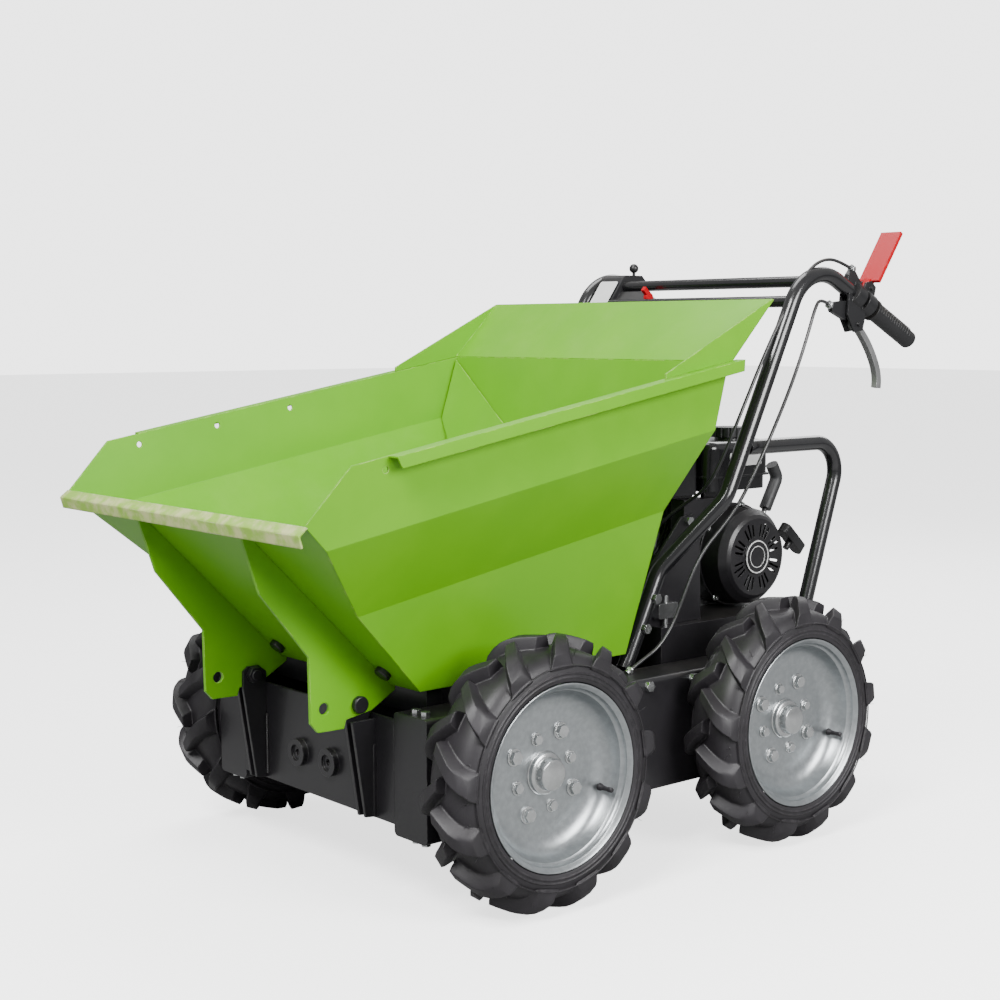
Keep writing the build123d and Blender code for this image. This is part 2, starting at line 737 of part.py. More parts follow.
def hub_body():
    """A wheel hub: flange, stepped cap, and a boss bored for the axle behind it."""
    y_disc(0, hub_y + hub_flange / 2, 0, 74, hub_flange)
    y_disc(0, (hub_y + disc_y + 12) / 2, 0, 18.9, disc_y + 12 - hub_y)
    y_disc(0, (disc_y + 12 + cap_y) / 2, 0, 13, cap_y - disc_y - 12)
    y_disc(0, hub_y - boss_depth / 2, 0, 22, boss_depth)
    y_disc(0, hub_y - boss_depth, 0, AXLE_DIA / 2 + KEY_FIT, 2 * (axle_seat + KEY_FIT), Mode.SUBTRACT)


def axle_shaft(axle_end):
    """The axle, from its seat in the hub's boss to its inboard end."""
    axle_start = hub_y - boss_depth + axle_seat
    y_disc(0, (axle_start + axle_end) / 2, 0, AXLE_DIA / 2, axle_start - axle_end)


def wheel_bolts():
    """Four large and four small bolts through the rim into the hub flange."""
    for count in range(4):
        angle = radians(45 + 90 * count)
        bolt_x = WHEEL_PCD / 2 * cos(angle)
        bolt_z = WHEEL_PCD / 2 * sin(angle)
        y_hexagon(bolt_x, disc_y + 4.6, bolt_z, 19, 9)
        y_disc(bolt_x, hub_y + 10, bolt_z, WHEEL_BOLT_DIA / 2, 14)
        angle = radians(90 * count)
        bolt_x = WHEEL_PCD / 2 * cos(angle)
        bolt_z = WHEEL_PCD / 2 * sin(angle)
        y_hexagon(bolt_x, disc_y + 3.1, bolt_z, 13, 6)
        y_disc(bolt_x, hub_y + 9, bolt_z, 4, 12)


with BuildPart() as hub:
    hub_body()
    wheel_bolts()

with BuildPart() as sprocket:
    y_disc(0, case_mid_y - wheel_y, 0, sprocket_radius, 8)
    y_disc(0, case_mid_y - wheel_y, 0, 24, 26)
    y_disc(0, case_mid_y - wheel_y, 0, AXLE_DIA / 2 + KEY_FIT, 40, Mode.SUBTRACT)

with BuildPart() as front_axle:
    axle_shaft(front_axle_end)

with BuildPart() as rear_axle:
    axle_shaft(rear_axle_end)

wheel_corners = {
    "front_left": (front_axle_x, 1),
    "front_right": (front_axle_x, -1),
    "rear_left": (rear_axle_x, 1),
    "rear_right": (rear_axle_x, -1),
}
for corner, (axle_x, side) in wheel_corners.items():
    axle = front_axle if axle_x == front_axle_x else rear_axle
    for piece, shapes in (("tyre", (tyre, tyre_lugs)), ("rim", (rim,)), ("hub", (hub, axle, sprocket))):
        with BuildPart() as placed:
            with Locations((axle_x, wheel_y, HUB_Z)):
                for shape in shapes:
                    add(shape.part)
            if side < 0:
                mirror(about=Plane.XZ, mode=Mode.REPLACE)
        export(placed, f"{piece}_{corner}")

# ---------------------------------------------------------------- handlebars and hoops
tube_r = TUBE_DIA / 2


def handle_x(z):
    """The raked line of the upper handlebars, seen from the side."""
    return HANDLE_REF_X - HANDLE_RAKE * (z - HANDLE_REF_Z)


def foot_x(z):
    """The same rake, stepped forwards, for the narrower lower legs."""
    return handle_x(z) + FOOT_SHIFT


def grip_line_z(x):
    """The line of the grips, seen from the side."""
    return GRIP_END_Z + (x - GRIP_END_X) * GRIP_SLOPE


elbow_z = (
    GRIP_END_Z + (HANDLE_REF_X + HANDLE_RAKE * HANDLE_REF_Z - GRIP_END_X) * GRIP_SLOPE
) / (1 + HANDLE_RAKE * GRIP_SLOPE)
elbow_x = handle_x(elbow_z)
foot_z = TUB_TOP_Z + 12
grip_unit = Vector(1, 0, GRIP_SLOPE).normalized()
tube_end = Vector(GRIP_END_X, HANDLE_HALF, GRIP_END_Z) + grip_unit * 4

with BuildPart() as handle_tubes:
    tube_run(
        [
            (foot_x(foot_z), FOOT_HALF, foot_z),
            (foot_x(JOG_LOW_Z), FOOT_HALF, JOG_LOW_Z),
            (handle_x(JOG_HIGH_Z), HANDLE_HALF, JOG_HIGH_Z),
            (elbow_x, HANDLE_HALF, elbow_z),
            tuple(tube_end),
        ],
        [60, 60, 88],
        TUBE_DIA,
        TUBE_DIA - 4,
    )
    mirror(about=Plane.XZ)
export(handle_tubes, "handle_tubes")

with BuildPart() as grips:
    grip_start = Vector(GRIP_END_X, HANDLE_HALF, GRIP_END_Z)
    with BuildSketch(Plane(origin=grip_start, z_dir=grip_unit)):
        Circle(GRIP_DIA / 2)
    extrude(amount=GRIP_LENGTH)
    grip_flange = grip_start + grip_unit * (GRIP_LENGTH - 6)
    with BuildSketch(Plane(origin=grip_flange, z_dir=grip_unit)):
        Circle(GRIP_DIA / 2 + 4)
    extrude(amount=6)
    with BuildSketch(Plane(origin=grip_start + grip_unit * 4, z_dir=grip_unit)):
        Circle(tube_r)
    extrude(amount=GRIP_LENGTH, mode=Mode.SUBTRACT)
    fillet(grips.edges().group_by(Axis.X)[0], 4)
    mirror(about=Plane.XZ)
export(grips, "grips")

hoop_half = 262.0
hoop_z = 656.0
hoop_rear_x = -509.5
hoop_foot_x = -387.5
with BuildPart() as engine_hoops:
    tube_run(
        [
            (handle_x(hoop_z) - tube_r + 3, hoop_half, hoop_z),
            (hoop_rear_x, hoop_half, hoop_z),
            (hoop_foot_x, hoop_half, CASE_TOP_Z + 0.2),
        ],
        [52],
        26,
        21,
    )
    mirror(about=Plane.XZ)
export(engine_hoops, "engine_hoops")

bar_dia = 20.0
crossbar_spots = [(-408.0, 938.0), (-372.0, 903.0)]
with BuildPart() as crossbars:
    for bar_x, bar_z in crossbar_spots:
        y_disc(bar_x, 0, bar_z, bar_dia / 2, 2 * (HANDLE_HALF - tube_r * 0.7))
export(crossbars, "crossbars")

# A gusset plate on each side ties the tube's leg and jog to the engine bed.
gusset_sheet = 5.0
with BuildPart() as foot_gussets:
    side_plate(
        [
            (foot_x(BED_TOP_Z) + 6, BED_TOP_Z + 0.1),
            (foot_x(JOG_LOW_Z) + 6, JOG_LOW_Z),
            (-176, 536),
            (-206, 540),
            (-222, 490),
            (-226, BED_TOP_Z + 0.1),
        ],
        FOOT_HALF - tube_r - gusset_sheet / 2,
        gusset_sheet,
    )
    mirror(about=Plane.XZ)
export(foot_gussets, "foot_gussets")

# ---------------------------------------------------------------- controls
def on_grip(distance, lift=0.0):
    """A point on the left tube this far from the grip's end, lifted square to the tube."""
    up = Vector(-grip_unit.Z, 0, grip_unit.X)
    return Vector(GRIP_END_X, HANDLE_HALF, GRIP_END_Z) + grip_unit * distance + up * lift


clutch_pivot = (-570.0, 928.0)
brake_pivot = (-535.0, 864.0)
lever_pin_dia = 8.0
ear_gap = 7.0
ear_sheet = 4.0
with BuildPart() as lever_perches:
    for distance in (150, 182):
        with BuildSketch(Plane(origin=on_grip(distance - 12), z_dir=grip_unit)):
            Circle(tube_r + 8)
        extrude(amount=24)
    for sign in (1, -1):
        ear_y = HANDLE_HALF + sign * (ear_gap + ear_sheet / 2)
        side_plate(
            [(-580, 914), (-584, 930), (-572, 941), (-556, 938), (-548, 922), (-552, 900), (-574, 900)],
            ear_y,
            ear_sheet,
        )
        side_plate(
            [(-548, 853), (-524, 850), (-505, 880), (-508, 920), (-540, 912), (-556, 880)],
            ear_y,
            ear_sheet,
        )
    side_plate(
        [(-560, 925), (-532, 958), (-524, 962), (-514, 952), (-508, 930), (-520, 905), (-550, 900)],
        HANDLE_HALF,
        10,
    )
    side_plate(
        [(-512, 905), (-506, 872), (-470, 886), (-466, 897), (-474, 903), (-495, 905)],
        HANDLE_HALF,
        10,
    )
    y_disc(clutch_pivot[0], HANDLE_HALF, clutch_pivot[1], 14, 2 * ear_gap, Mode.SUBTRACT)
    y_disc(clutch_pivot[0], HANDLE_HALF, clutch_pivot[1], lever_pin_dia / 2, 30)
    y_disc(brake_pivot[0], HANDLE_HALF, brake_pivot[1], 15, 2 * ear_gap, Mode.SUBTRACT)
    y_disc(brake_pivot[0], HANDLE_HALF, brake_pivot[1], lever_pin_dia / 2, 30)
    with BuildSketch(Plane(origin=on_grip(120), z_dir=grip_unit)):
        Circle(tube_r)
    extrude(amount=100, mode=Mode.SUBTRACT)
export(lever_perches, "lever_perches")

paddle_tip = Vector(-642, HANDLE_HALF, 1029)
paddle_root = Vector(-579, HANDLE_HALF, 940)
paddle_width = 44.0
paddle_along = (paddle_tip - paddle_root).normalized()
with BuildPart() as clutch_lever:
    y_disc(clutch_pivot[0], HANDLE_HALF, clutch_pivot[1], 9, 2 * ear_gap - 1)
    side_plate([(-576, 924), (-564, 934), (-572, 946), (-584, 938)], HANDLE_HALF, 2 * ear_gap - 1)
    with BuildSketch(Plane(origin=paddle_root, x_dir=(0, 1, 0), z_dir=paddle_along)):
        Rectangle(paddle_width, 7)
    extrude(amount=(paddle_tip - paddle_root).length)
    y_disc(clutch_pivot[0], HANDLE_HALF, clutch_pivot[1], lever_pin_dia / 2 + RUNNING_GAP, 30, Mode.SUBTRACT)
export(clutch_lever, "clutch_lever")

# The brake lever is a curved blade that sweeps back and down from its pivot.
with BuildPart() as brake_lever:
    y_disc(brake_pivot[0], HANDLE_HALF, brake_pivot[1], 9, 2 * ear_gap - 1)
    with BuildSketch(side_plane(HANDLE_HALF)):
        with BuildLine():
            front = Spline((-538, 858), (-562, 833), (-585, 801), (-597, 772), (-597, 750))
            Line(front @ 1, (-610, 748))
            back = Spline((-610, 748), (-609, 776), (-595, 808), (-570, 842), (-541, 868))
            Line(back @ 1, front @ 0)
        make_face()
    extrude(amount=6, both=True)
    y_disc(brake_pivot[0], HANDLE_HALF, brake_pivot[1], lever_pin_dia / 2 + RUNNING_GAP, 30, Mode.SUBTRACT)
export(brake_lever, "brake_lever")

console_left_y = -245.0
console_right_y = -188.0
console_mid_y = (console_left_y + console_right_y) / 2
console_width = console_right_y - console_left_y
console_sheet = 2.0
console_profile = [(-345, 880), (-400, 955), (-408, 960), (-452, 960), (-462, 950), (-428, 880)]
gear_pivot = (-441.0, 930.0)
with BuildPart() as console_box:
    side_plate(console_profile, console_mid_y, console_width)
    with BuildSketch(side_plane(console_mid_y)):
        with BuildLine():
            Polyline(*console_profile, close=True)
        make_face()
        offset(amount=-console_sheet, mode=Mode.REPLACE)
    extrude(amount=console_width / 2 - console_sheet, both=True, mode=Mode.SUBTRACT)
    side_plate(
        [(-396, 928), (-402, 923), (-381, 903), (-375, 909)],
        (console_right_y - 112) / 2,
        -112 - console_right_y,
    )
    for bar_x, bar_z in crossbar_spots:
        y_disc(bar_x, console_mid_y, bar_z, bar_dia / 2 + 0.05, 400, Mode.SUBTRACT)
    with BuildSketch(Plane.XY.offset(955)):
        with Locations((gear_pivot[0] + 1, -200)):
            Rectangle(26, 9)
    extrude(amount=10, mode=Mode.SUBTRACT)
    y_disc(gear_pivot[0], console_right_y - 7, gear_pivot[1], 3, 14)
export(console_box, "console_box")

with BuildPart() as gear_lever:
    y_disc(gear_pivot[0], -200, gear_pivot[1], 6.5, 6)
    with BuildSketch(Plane.XY.offset(gear_pivot[1] + 4)):
        with Locations((gear_pivot[0], -200)):
            Circle(3)
    extrude(amount=36)
    with Locations((gear_pivot[0], -200, gear_pivot[1] + 44)):
        Sphere(9)
    y_disc(gear_pivot[0], -200, gear_pivot[1], 3 + RUNNING_GAP, 30, Mode.SUBTRACT)
export(gear_lever, "gear_lever")

# The red engine-stop lever turns on a pin at the end of the console's tab.
switch_spot = (-388.5, 915.5)
with BuildPart() as engine_switch:
    y_disc(switch_spot[0], -107.5, switch_spot[1], 9, 8)
    side_plate([(-392, 909), (-372, 929), (-378, 936), (-398, 917)], -107.5, 8)
export(engine_switch, "engine_switch")

# The tip release is a bright rod with a moulded grip, pivoted behind the engine bed.
release_pivot = (BED_REAR_X - 16, 338.0)
release_y = 30.0
with BuildPart() as release_lever:
    y_disc(release_pivot[0], release_y, release_pivot[1], 11, 14)
    tube_run(
        [(release_pivot[0] - 3, release_y, release_pivot[1] + 8), (-566, release_y, 501), (-600, release_y, 562)],
        [120],
        10,
    )
    tube_run([(-572, release_y, 512), (-606, release_y, 570), (-590, release_y, 596)], [16], 24)
    y_disc(release_pivot[0], release_y, release_pivot[1], 5 + RUNNING_GAP, 30, Mode.SUBTRACT)
export(release_lever, "release_lever")

# ---------------------------------------------------------------- engine
block_top_z = 505.0
with BuildPart() as engine_block:
    with BuildSketch(Plane.XY.offset(BED_TOP_Z + 0.1)):
        with Locations((CRANK_X + 5, 0)):
            RectangleRounded(190, 176, 18)
    extrude(amount=16)
    with BuildSketch(side_plane(0)):
        with Locations((CRANK_X, CRANK_Z - 8)):
            RectangleRounded(160, 2 * (CRANK_Z - 8 - BED_TOP_Z - 10), 34)
    extrude(amount=88, both=True)
    y_disc(CRANK_X, -100, CRANK_Z, 34, 30)
    y_disc(CRANK_X, -130, CRANK_Z, 10.05, 80, Mode.SUBTRACT)
export(engine_block, "engine_block")

# The cylinder leans forwards and up; its fins are turned as one row of square plates.
lean = 25.0
head_along = Vector(cos(radians(lean)), 0, sin(radians(lean)))
crank_centre = Vector(CRANK_X, 0, CRANK_Z)


def head_plane(distance):
    """A plane square to the cylinder at this distance from the crankshaft."""
    return Plane(origin=crank_centre + head_along * distance, x_dir=(0, 1, 0), z_dir=head_along)


with BuildPart() as cylinder_head:
    with BuildSketch(head_plane(86)):
        RectangleRounded(84, 82, 16)
    extrude(amount=62)
    for fin in range(6):
        with BuildSketch(head_plane(90 + 9 * fin)):
            RectangleRounded(112, 104, 12)
        extrude(amount=3.5)
    with BuildSketch(head_plane(146)):
        RectangleRounded(116, 104, 14)
    extrude(amount=30)
    with BuildSketch(head_plane(176)):
        RectangleRounded(96, 80, 22)
    extrude(amount=22)
    with BuildSketch(side_plane(0)):
        with Locations((CRANK_X, CRANK_Z - 8)):
            RectangleRounded(160, 2 * (CRANK_Z - 8 - BED_TOP_Z - 10), 34)
    extrude(amount=88.2, both=True, mode=Mode.SUBTRACT)
export(cylinder_head, "cylinder_head")

fan_front_y = 128.0
with BuildPart() as fan_housing:
    y_disc(CRANK_X, (88.2 + fan_front_y) / 2, CRANK_Z, FAN_HOUSING_DIA / 2, fan_front_y - 88.2)
    with BuildSketch(side_plane(108)):
        with BuildLine():
            Polyline(
                (CRANK_X - 30, CRANK_Z + 70),
                (CRANK_X + 30, CRANK_Z + 104),
                (CRANK_X + 130, CRANK_Z + 106),
                (CRANK_X + 130, CRANK_Z + 10),
                (CRANK_X + 60, CRANK_Z - 50),
                close=True,
            )
        make_face()
    extrude(amount=16, both=True)
    y_disc(CRANK_X, 100, CRANK_Z, FAN_HOUSING_DIA / 2 - 8, 60, Mode.SUBTRACT)
    y_disc(CRANK_X, 90.2, CRANK_Z, FAN_HOUSING_DIA / 2 - 4, 3.5)
export(fan_housing, "fan_housing")

# The recoil cover is a thin dished shell with radial slots in its face and slots round its wall.
cover_wall = 2.5
with BuildPart() as recoil_cover:
    for inset, mode in ((0, Mode.ADD), (cover_wall, Mode.SUBTRACT)):
        with BuildSketch(wheel_plane()):
            with BuildLine():
                Polyline(
                    (fan_front_y + 0.1 - inset * 0.5, 0),
                    (fan_front_y + 0.1 - inset * 0.5, RECOIL_DIA / 2 + 2 - inset),
                    (RECOIL_FRONT_Y - 16, RECOIL_DIA / 2 - 3 - inset),
                    (RECOIL_FRONT_Y - 4 - inset * 0.5, RECOIL_FACE_DIA / 2 + 6 - inset),
                    (RECOIL_FRONT_Y - inset, RECOIL_FACE_DIA / 2 - inset * 0.5),
                    (RECOIL_FRONT_Y - inset, 0),
                    close=True,
                )
            make_face()
        revolve(axis=Axis.Y, mode=mode)
    y_disc(0, RECOIL_FRONT_Y + 0.5, 0, 31, 3)
    y_disc(0, RECOIL_FRONT_Y - 20, 0, 14, 36)
    with BuildSketch(side_plane(RECOIL_FRONT_Y + 4)):
        for sector in range(8):
            for row in (-1, 0, 1):
                with PolarLocations(0.01, 1, start_angle=45 * sector + 11 * row + 22.5):
                    with Locations((50 - 2 * abs(row), 0)):
                        SlotOverall(27 - 4 * abs(row), 4.2)
    extrude(amount=9, mode=Mode.SUBTRACT)
    for slot in range(11):
        turn = 88 + 11.5 * slot
        slot_place = Location((0, 0, 0), (0, -turn, 0)) * Location((RECOIL_DIA / 2, RECOIL_FRONT_Y - 34, 0))
        with Locations(slot_place):
            Box(12, 26, 5, mode=Mode.SUBTRACT)
    recoil_base = recoil_cover.part
with BuildPart() as recoil_placed:
    with Locations((CRANK_X, 0, CRANK_Z)):
        add(recoil_base)
export(recoil_placed, "recoil_cover")

pull_direction = Vector(-0.68, 0, 0.73).normalized()
pull_centre = Vector(-489, 165, 472)
with BuildPart() as starter_handle:
    with BuildSketch(Plane(origin=pull_centre - pull_direction * 22, z_dir=pull_direction)):
        Circle(6)
    extrude(amount=18)
    bar_along = Vector(-pull_direction.Z, 0, pull_direction.X)
    bar_plane = Plane(origin=pull_centre - pull_direction * 8, x_dir=bar_along, z_dir=pull_direction)
    with BuildSketch(bar_plane):
        SlotOverall(72, 22)
    extrude(amount=18)
export(starter_handle, "starter_handle")

with BuildPart() as air_cleaner:
    with BuildSketch(Plane.XY.offset(562)):
        with Locations((-232, 44)):
            RectangleRounded(128, 140, 12)
    extrude(amount=66)
    with BuildSketch(Plane.XY.offset(628)):
        with Locations((-232, 44)):
            RectangleRounded(134, 146, 14)
    extrude(amount=34)
    fillet(air_cleaner.faces().sort_by(Axis.Z)[-1].edges(), 9)
    with BuildSketch(Plane.XY.offset(552)):
        with Locations((-262, 38)):
            RectangleRounded(44, 34, 8)
    extrude(amount=10)
export(air_cleaner, "air_cleaner")

tank_bottom_z = 566.0
tank_seam_z = 592.0
tank_top_z = 655.0
tank_mid = (-388.0, 42.0)
cap_spot = (-412.0, 78.0)
with BuildPart() as fuel_tank:
    with BuildSketch(Plane.XY.offset(tank_seam_z)):
        with Locations(tank_mid):
            RectangleRounded(168, 178, 26)
    extrude(amount=tank_top_z - tank_seam_z)
    fillet(fuel_tank.faces().sort_by(Axis.Z)[-1].edges(), 14)
    with BuildSketch(Plane.XY.offset(tank_seam_z)):
        with Locations(tank_mid):
            RectangleRounded(160, 170, 24)
    extrude(amount=tank_bottom_z - tank_seam_z)
    with BuildSketch(Plane.XY.offset(tank_seam_z - 1.5)):
        with Locations(tank_mid):
            RectangleRounded(178, 188, 30)
    extrude(amount=3)
    for leg_y in (-10, 84):
        with BuildSketch(Plane.XY.offset(tank_bottom_z)):
            with Locations((tank_mid[0] + 10, leg_y - 6)):
                Rectangle(70, 8)
        extrude(amount=534.2 - tank_bottom_z)
    with BuildSketch(Plane.XY.offset(tank_top_z - 0.1)):
        with Locations(cap_spot):
            Circle(26)
    extrude(amount=4)
    with BuildSketch(Plane.XY.offset(tank_top_z + 4)):
        with Locations(cap_spot):
            Circle(19)
    extrude(amount=-16, mode=Mode.SUBTRACT)
export(fuel_tank, "fuel_tank")

with BuildPart() as fuel_cap:
    with BuildSketch(Plane.XY.offset(tank_top_z + 4 + BODY_GAP)):
        with Locations(cap_spot):
            Circle(33)
        with Locations(cap_spot):
            with PolarLocations(33, 16):
                Circle(2.2, mode=Mode.SUBTRACT)
    extrude(amount=18)
    with BuildSketch(Plane.XY.offset(tank_top_z + 4 + BODY_GAP)):
        with Locations(cap_spot):
            Circle(18.5)
    extrude(amount=-12)
export(fuel_cap, "fuel_cap")

with BuildPart() as muffler:
    with BuildSketch(Plane.XY.offset(560)):
        with Locations((-250, -96)):
            RectangleRounded(150, 84, 24)
    extrude(amount=82)
    fillet(muffler.faces().sort_by(Axis.Z)[-1].edges(), 10)
    with BuildSketch(Plane.XY.offset(548)):
        with Locations((-262, -70)):
            RectangleRounded(44, 26, 8)
    extrude(amount=12)
    with BuildSketch(cross_plane(-325)):
        with Locations((-110, 600)):
            Circle(12)
            Circle(10, mode=Mode.SUBTRACT)
    extrude(amount=-26)
export(muffler, "muffler")

# ---------------------------------------------------------------- belt drive on the right
engine_pulley_r = 38.0
gearbox_pulley_r = 52.0
belt_thick = 8.0
belt_width = 12.0


def pulley(x, z, groove_radius):
    """A two-flanged pulley whose belt runs at the groove radius."""
    y_disc(x, belt_y, z, groove_radius, belt_width + 2 * BODY_GAP + 6)
    for sign in (1, -1):
        y_disc(x, belt_y + sign * (belt_width / 2 + BODY_GAP + 1.5), z, groove_radius + belt_thick, 3)


with BuildPart() as engine_pulley:
    pulley(CRANK_X, CRANK_Z, engine_pulley_r)
    y_disc(CRANK_X, -125, CRANK_Z, 10, 62)
export(engine_pulley, "engine_pulley")

with BuildPart() as gearbox_pulley:
    pulley(gear_input_x, gear_input_z, gearbox_pulley_r)
    y_disc(gear_input_x, belt_y + 46, gear_input_z, gear_shaft_r, 92)
export(gearbox_pulley, "gearbox_pulley")

with BuildPart() as drive_belt:
    for grow, mode in ((belt_thick + BODY_GAP, Mode.ADD), (BODY_GAP, Mode.SUBTRACT)):
        with BuildSketch(side_plane(belt_y)):
            with BuildLine():
                CenterArc((CRANK_X, CRANK_Z), engine_pulley_r + grow, 0, 360)
                CenterArc((gear_input_x, gear_input_z), gearbox_pulley_r + grow, 0, 360)
            make_hull()
        extrude(amount=belt_width / 2, both=True, mode=mode)
export(drive_belt, "drive_belt")

with BuildPart() as belt_guard:
    for grow, low, high, mode in ((24, -180, -128, Mode.ADD), (21.5, -177.5, -120, Mode.SUBTRACT)):
        with BuildSketch(side_plane((low + high) / 2)):
            with BuildLine():
                CenterArc((CRANK_X, CRANK_Z), engine_pulley_r + grow, 0, 360)
                CenterArc((gear_input_x, gear_input_z), gearbox_pulley_r + grow, 0, 360)
            make_hull()
        extrude(amount=(high - low) / 2, both=True, mode=mode)
    with BuildSketch(Plane.XY.offset(BED_TOP_Z + 0.1)):
        Rectangle(1400, 800)
    extrude(amount=-200, mode=Mode.SUBTRACT)
export(belt_guard, "belt_guard")

# ---------------------------------------------------------------- cables and fastenings
CABLE_DIA = 6.0
clutch_route = [
    (-522, 262, 964),
    (-490, 262, 975),
    (-459, 262, 978),
    (-430, 262, 970),
    (-405, 262, 953),
    (-375, 262, 922),
    (-336, 262, 872),
    (-291, 262, 804),
    (-252, 262, 738),
    (-226, 257, 684),
    (-211, 243, 630),
    (-206, 213, 584),
    (-198, 172, 556),
    (-180, 132, 522),
    (-168, 102, 474),
    (-162, 86, 418),
    (-162, 80, 366),
]
brake_route = [
    (-462, 262, 900),
    (-438, 264, 909),
    (-421, 267, 890),
    (-403, 269, 851),
    (-376, 271, 797),
    (-340, 277, 743),
    (-292, 285, 680),
    (-252, 284, 618),
    (-224, 273, 562),
    (-190, 263, 522),
    (-160, 256, 492),
    (-135, 251, 452),
    (-116, 247, 408),
    (-98, 243, 366),
    (-68, 240, 332),
    (-34, 238, 316),
    (-8, 237, 303),
]


def cable_radii(points):
    """The largest even bends that these runs leave room for, one for each corner."""
    radii = []
    for before, here, after in zip(points, points[1:], points[2:]):
        run_in = Vector(here) - Vector(before)
        run_out = Vector(after) - Vector(here)
        half_turn = radians(run_in.get_angle(run_out)) / 2
        radii.append(0.45 * min(run_in.length, run_out.length) / tan(half_turn))
    return radii


for cable_name, route in (("clutch_cable", clutch_route), ("brake_cable", brake_route)):
    bends = cable_radii(route)
    with BuildPart() as cable:
        with BuildLine() as cable_path:
            FilletPolyline(*route, radius=bends)
        with BuildSketch(Plane(origin=cable_path.line @ 0, z_dir=cable_path.line % 0)):
            Circle(CABLE_DIA / 2)
        sweep(path=cable_path.line)
    export(cable, cable_name)
    length = sum(edge.length for edge in cable_path.edges())
    section = pi * (CABLE_DIA / 2) ** 2
    print(cable_name, "length", round(length, 1), "radii", [round(r) for r in bends])
    print("  volume over section times length", round(cable.part.volume / (section * length), 5))


def cable_end(point, toward, radius, reach, head):
    """A barrel fitting that takes a cable's end, with a hexagonal head beside it."""
    direction = (Vector(toward) - Vector(point)).normalized()
    with BuildSketch(Plane(origin=Vector(point), z_dir=direction * -1)) as barrel:
        Circle(radius)
    extrude(barrel.sketch, amount=reach)
    with BuildSketch(Plane(origin=Vector(point) - direction * 3, z_dir=direction * -1)) as nut:
        RegularPolygon(head, 6)
    extrude(nut.sketch, amount=5)


clamp_y = FOOT_HALF - tube_r
with BuildPart() as cable_fittings:
    cable_end(clutch_route[0], clutch_route[1], 5, 12, 8)
    cable_end(brake_route[0], brake_route[1], 5, 12, 8)
    cable_end(clutch_route[-1], clutch_route[-2], 6, clutch_route[-1][2] - BED_TOP_Z - 0.1, 8)
    cable_end(brake_route[-1], brake_route[-2], 5, 12, 7)
    with BuildSketch(side_plane(clamp_y + 0.1)):
        with Locations((-130, 382)):
            RectangleRounded(46, 26, 4)
    extrude(amount=-16)
    with BuildSketch(Plane.XY.offset(354.5 + 1)):
        with Locations((-130, clamp_y + 8)):
            Circle(5)
    extrude(amount=52)
export(cable_fittings, "cable_fittings")

frame_bolt_spots = [
    (foot_x(409), FOOT_HALF + tube_r, 409),
    (foot_x(361), FOOT_HALF + tube_r, 361),
    (-192, FOOT_HALF - tube_r, 528),
    (2, CASE_OUTER_Y, 284),
    (-100, CASE_OUTER_Y, 284),
]
with BuildPart() as frame_bolts:
    for bolt_x, bolt_y, bolt_z in frame_bolt_spots:
        y_hexagon(bolt_x, bolt_y + 4.2, bolt_z, 15, 8)
    for side_y in (240, 262):
        with BuildSketch(Plane.XY.offset(CASE_TOP_Z + 0.1)):
            with Locations((CASE_FRONT_X - 16, side_y)):
                RegularPolygon(7.5, 6)
        extrude(amount=7)
        with BuildSketch(Plane.XY.offset(CASE_BOTTOM_Z - 0.1)):
            with Locations((CASE_FRONT_X - 16, side_y)):
                RegularPolygon(7.5, 6)
        extrude(amount=-7)
    mirror(about=Plane.XZ)
export(frame_bolts, "frame_bolts")
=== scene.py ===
from math import cos, pi, radians, sin

import bpy
import bmesh
from mathutils import Matrix, Vector, noise


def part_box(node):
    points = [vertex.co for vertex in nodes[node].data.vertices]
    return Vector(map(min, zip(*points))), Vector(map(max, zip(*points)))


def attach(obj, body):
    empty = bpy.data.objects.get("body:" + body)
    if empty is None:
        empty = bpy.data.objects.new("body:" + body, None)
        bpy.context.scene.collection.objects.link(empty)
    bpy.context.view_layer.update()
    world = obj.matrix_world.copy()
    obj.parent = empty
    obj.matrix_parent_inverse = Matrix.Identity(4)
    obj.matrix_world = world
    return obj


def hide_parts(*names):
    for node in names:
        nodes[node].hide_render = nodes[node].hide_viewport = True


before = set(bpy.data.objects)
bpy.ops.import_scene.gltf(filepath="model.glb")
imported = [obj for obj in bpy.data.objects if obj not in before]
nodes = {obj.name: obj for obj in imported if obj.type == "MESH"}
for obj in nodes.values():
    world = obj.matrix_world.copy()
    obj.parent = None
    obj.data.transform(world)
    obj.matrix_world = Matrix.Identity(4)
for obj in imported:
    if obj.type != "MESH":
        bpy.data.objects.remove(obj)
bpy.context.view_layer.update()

# ---------------------------------------------------------------- camera
# A nearly level view of the front left corner from about three metres, a little above the skip's rim.
camera_data = bpy.data.cameras.new("camera")
camera_data.lens = 60.6
camera_data.sensor_width = 36
camera = bpy.data.objects.new("camera", camera_data)
bpy.context.scene.collection.objects.link(camera)
camera.location = (1.9037, 2.1646, 0.8518)
camera.rotation_euler = (radians(84.286), radians(0.075), radians(139.753))
bpy.context.scene.camera = camera

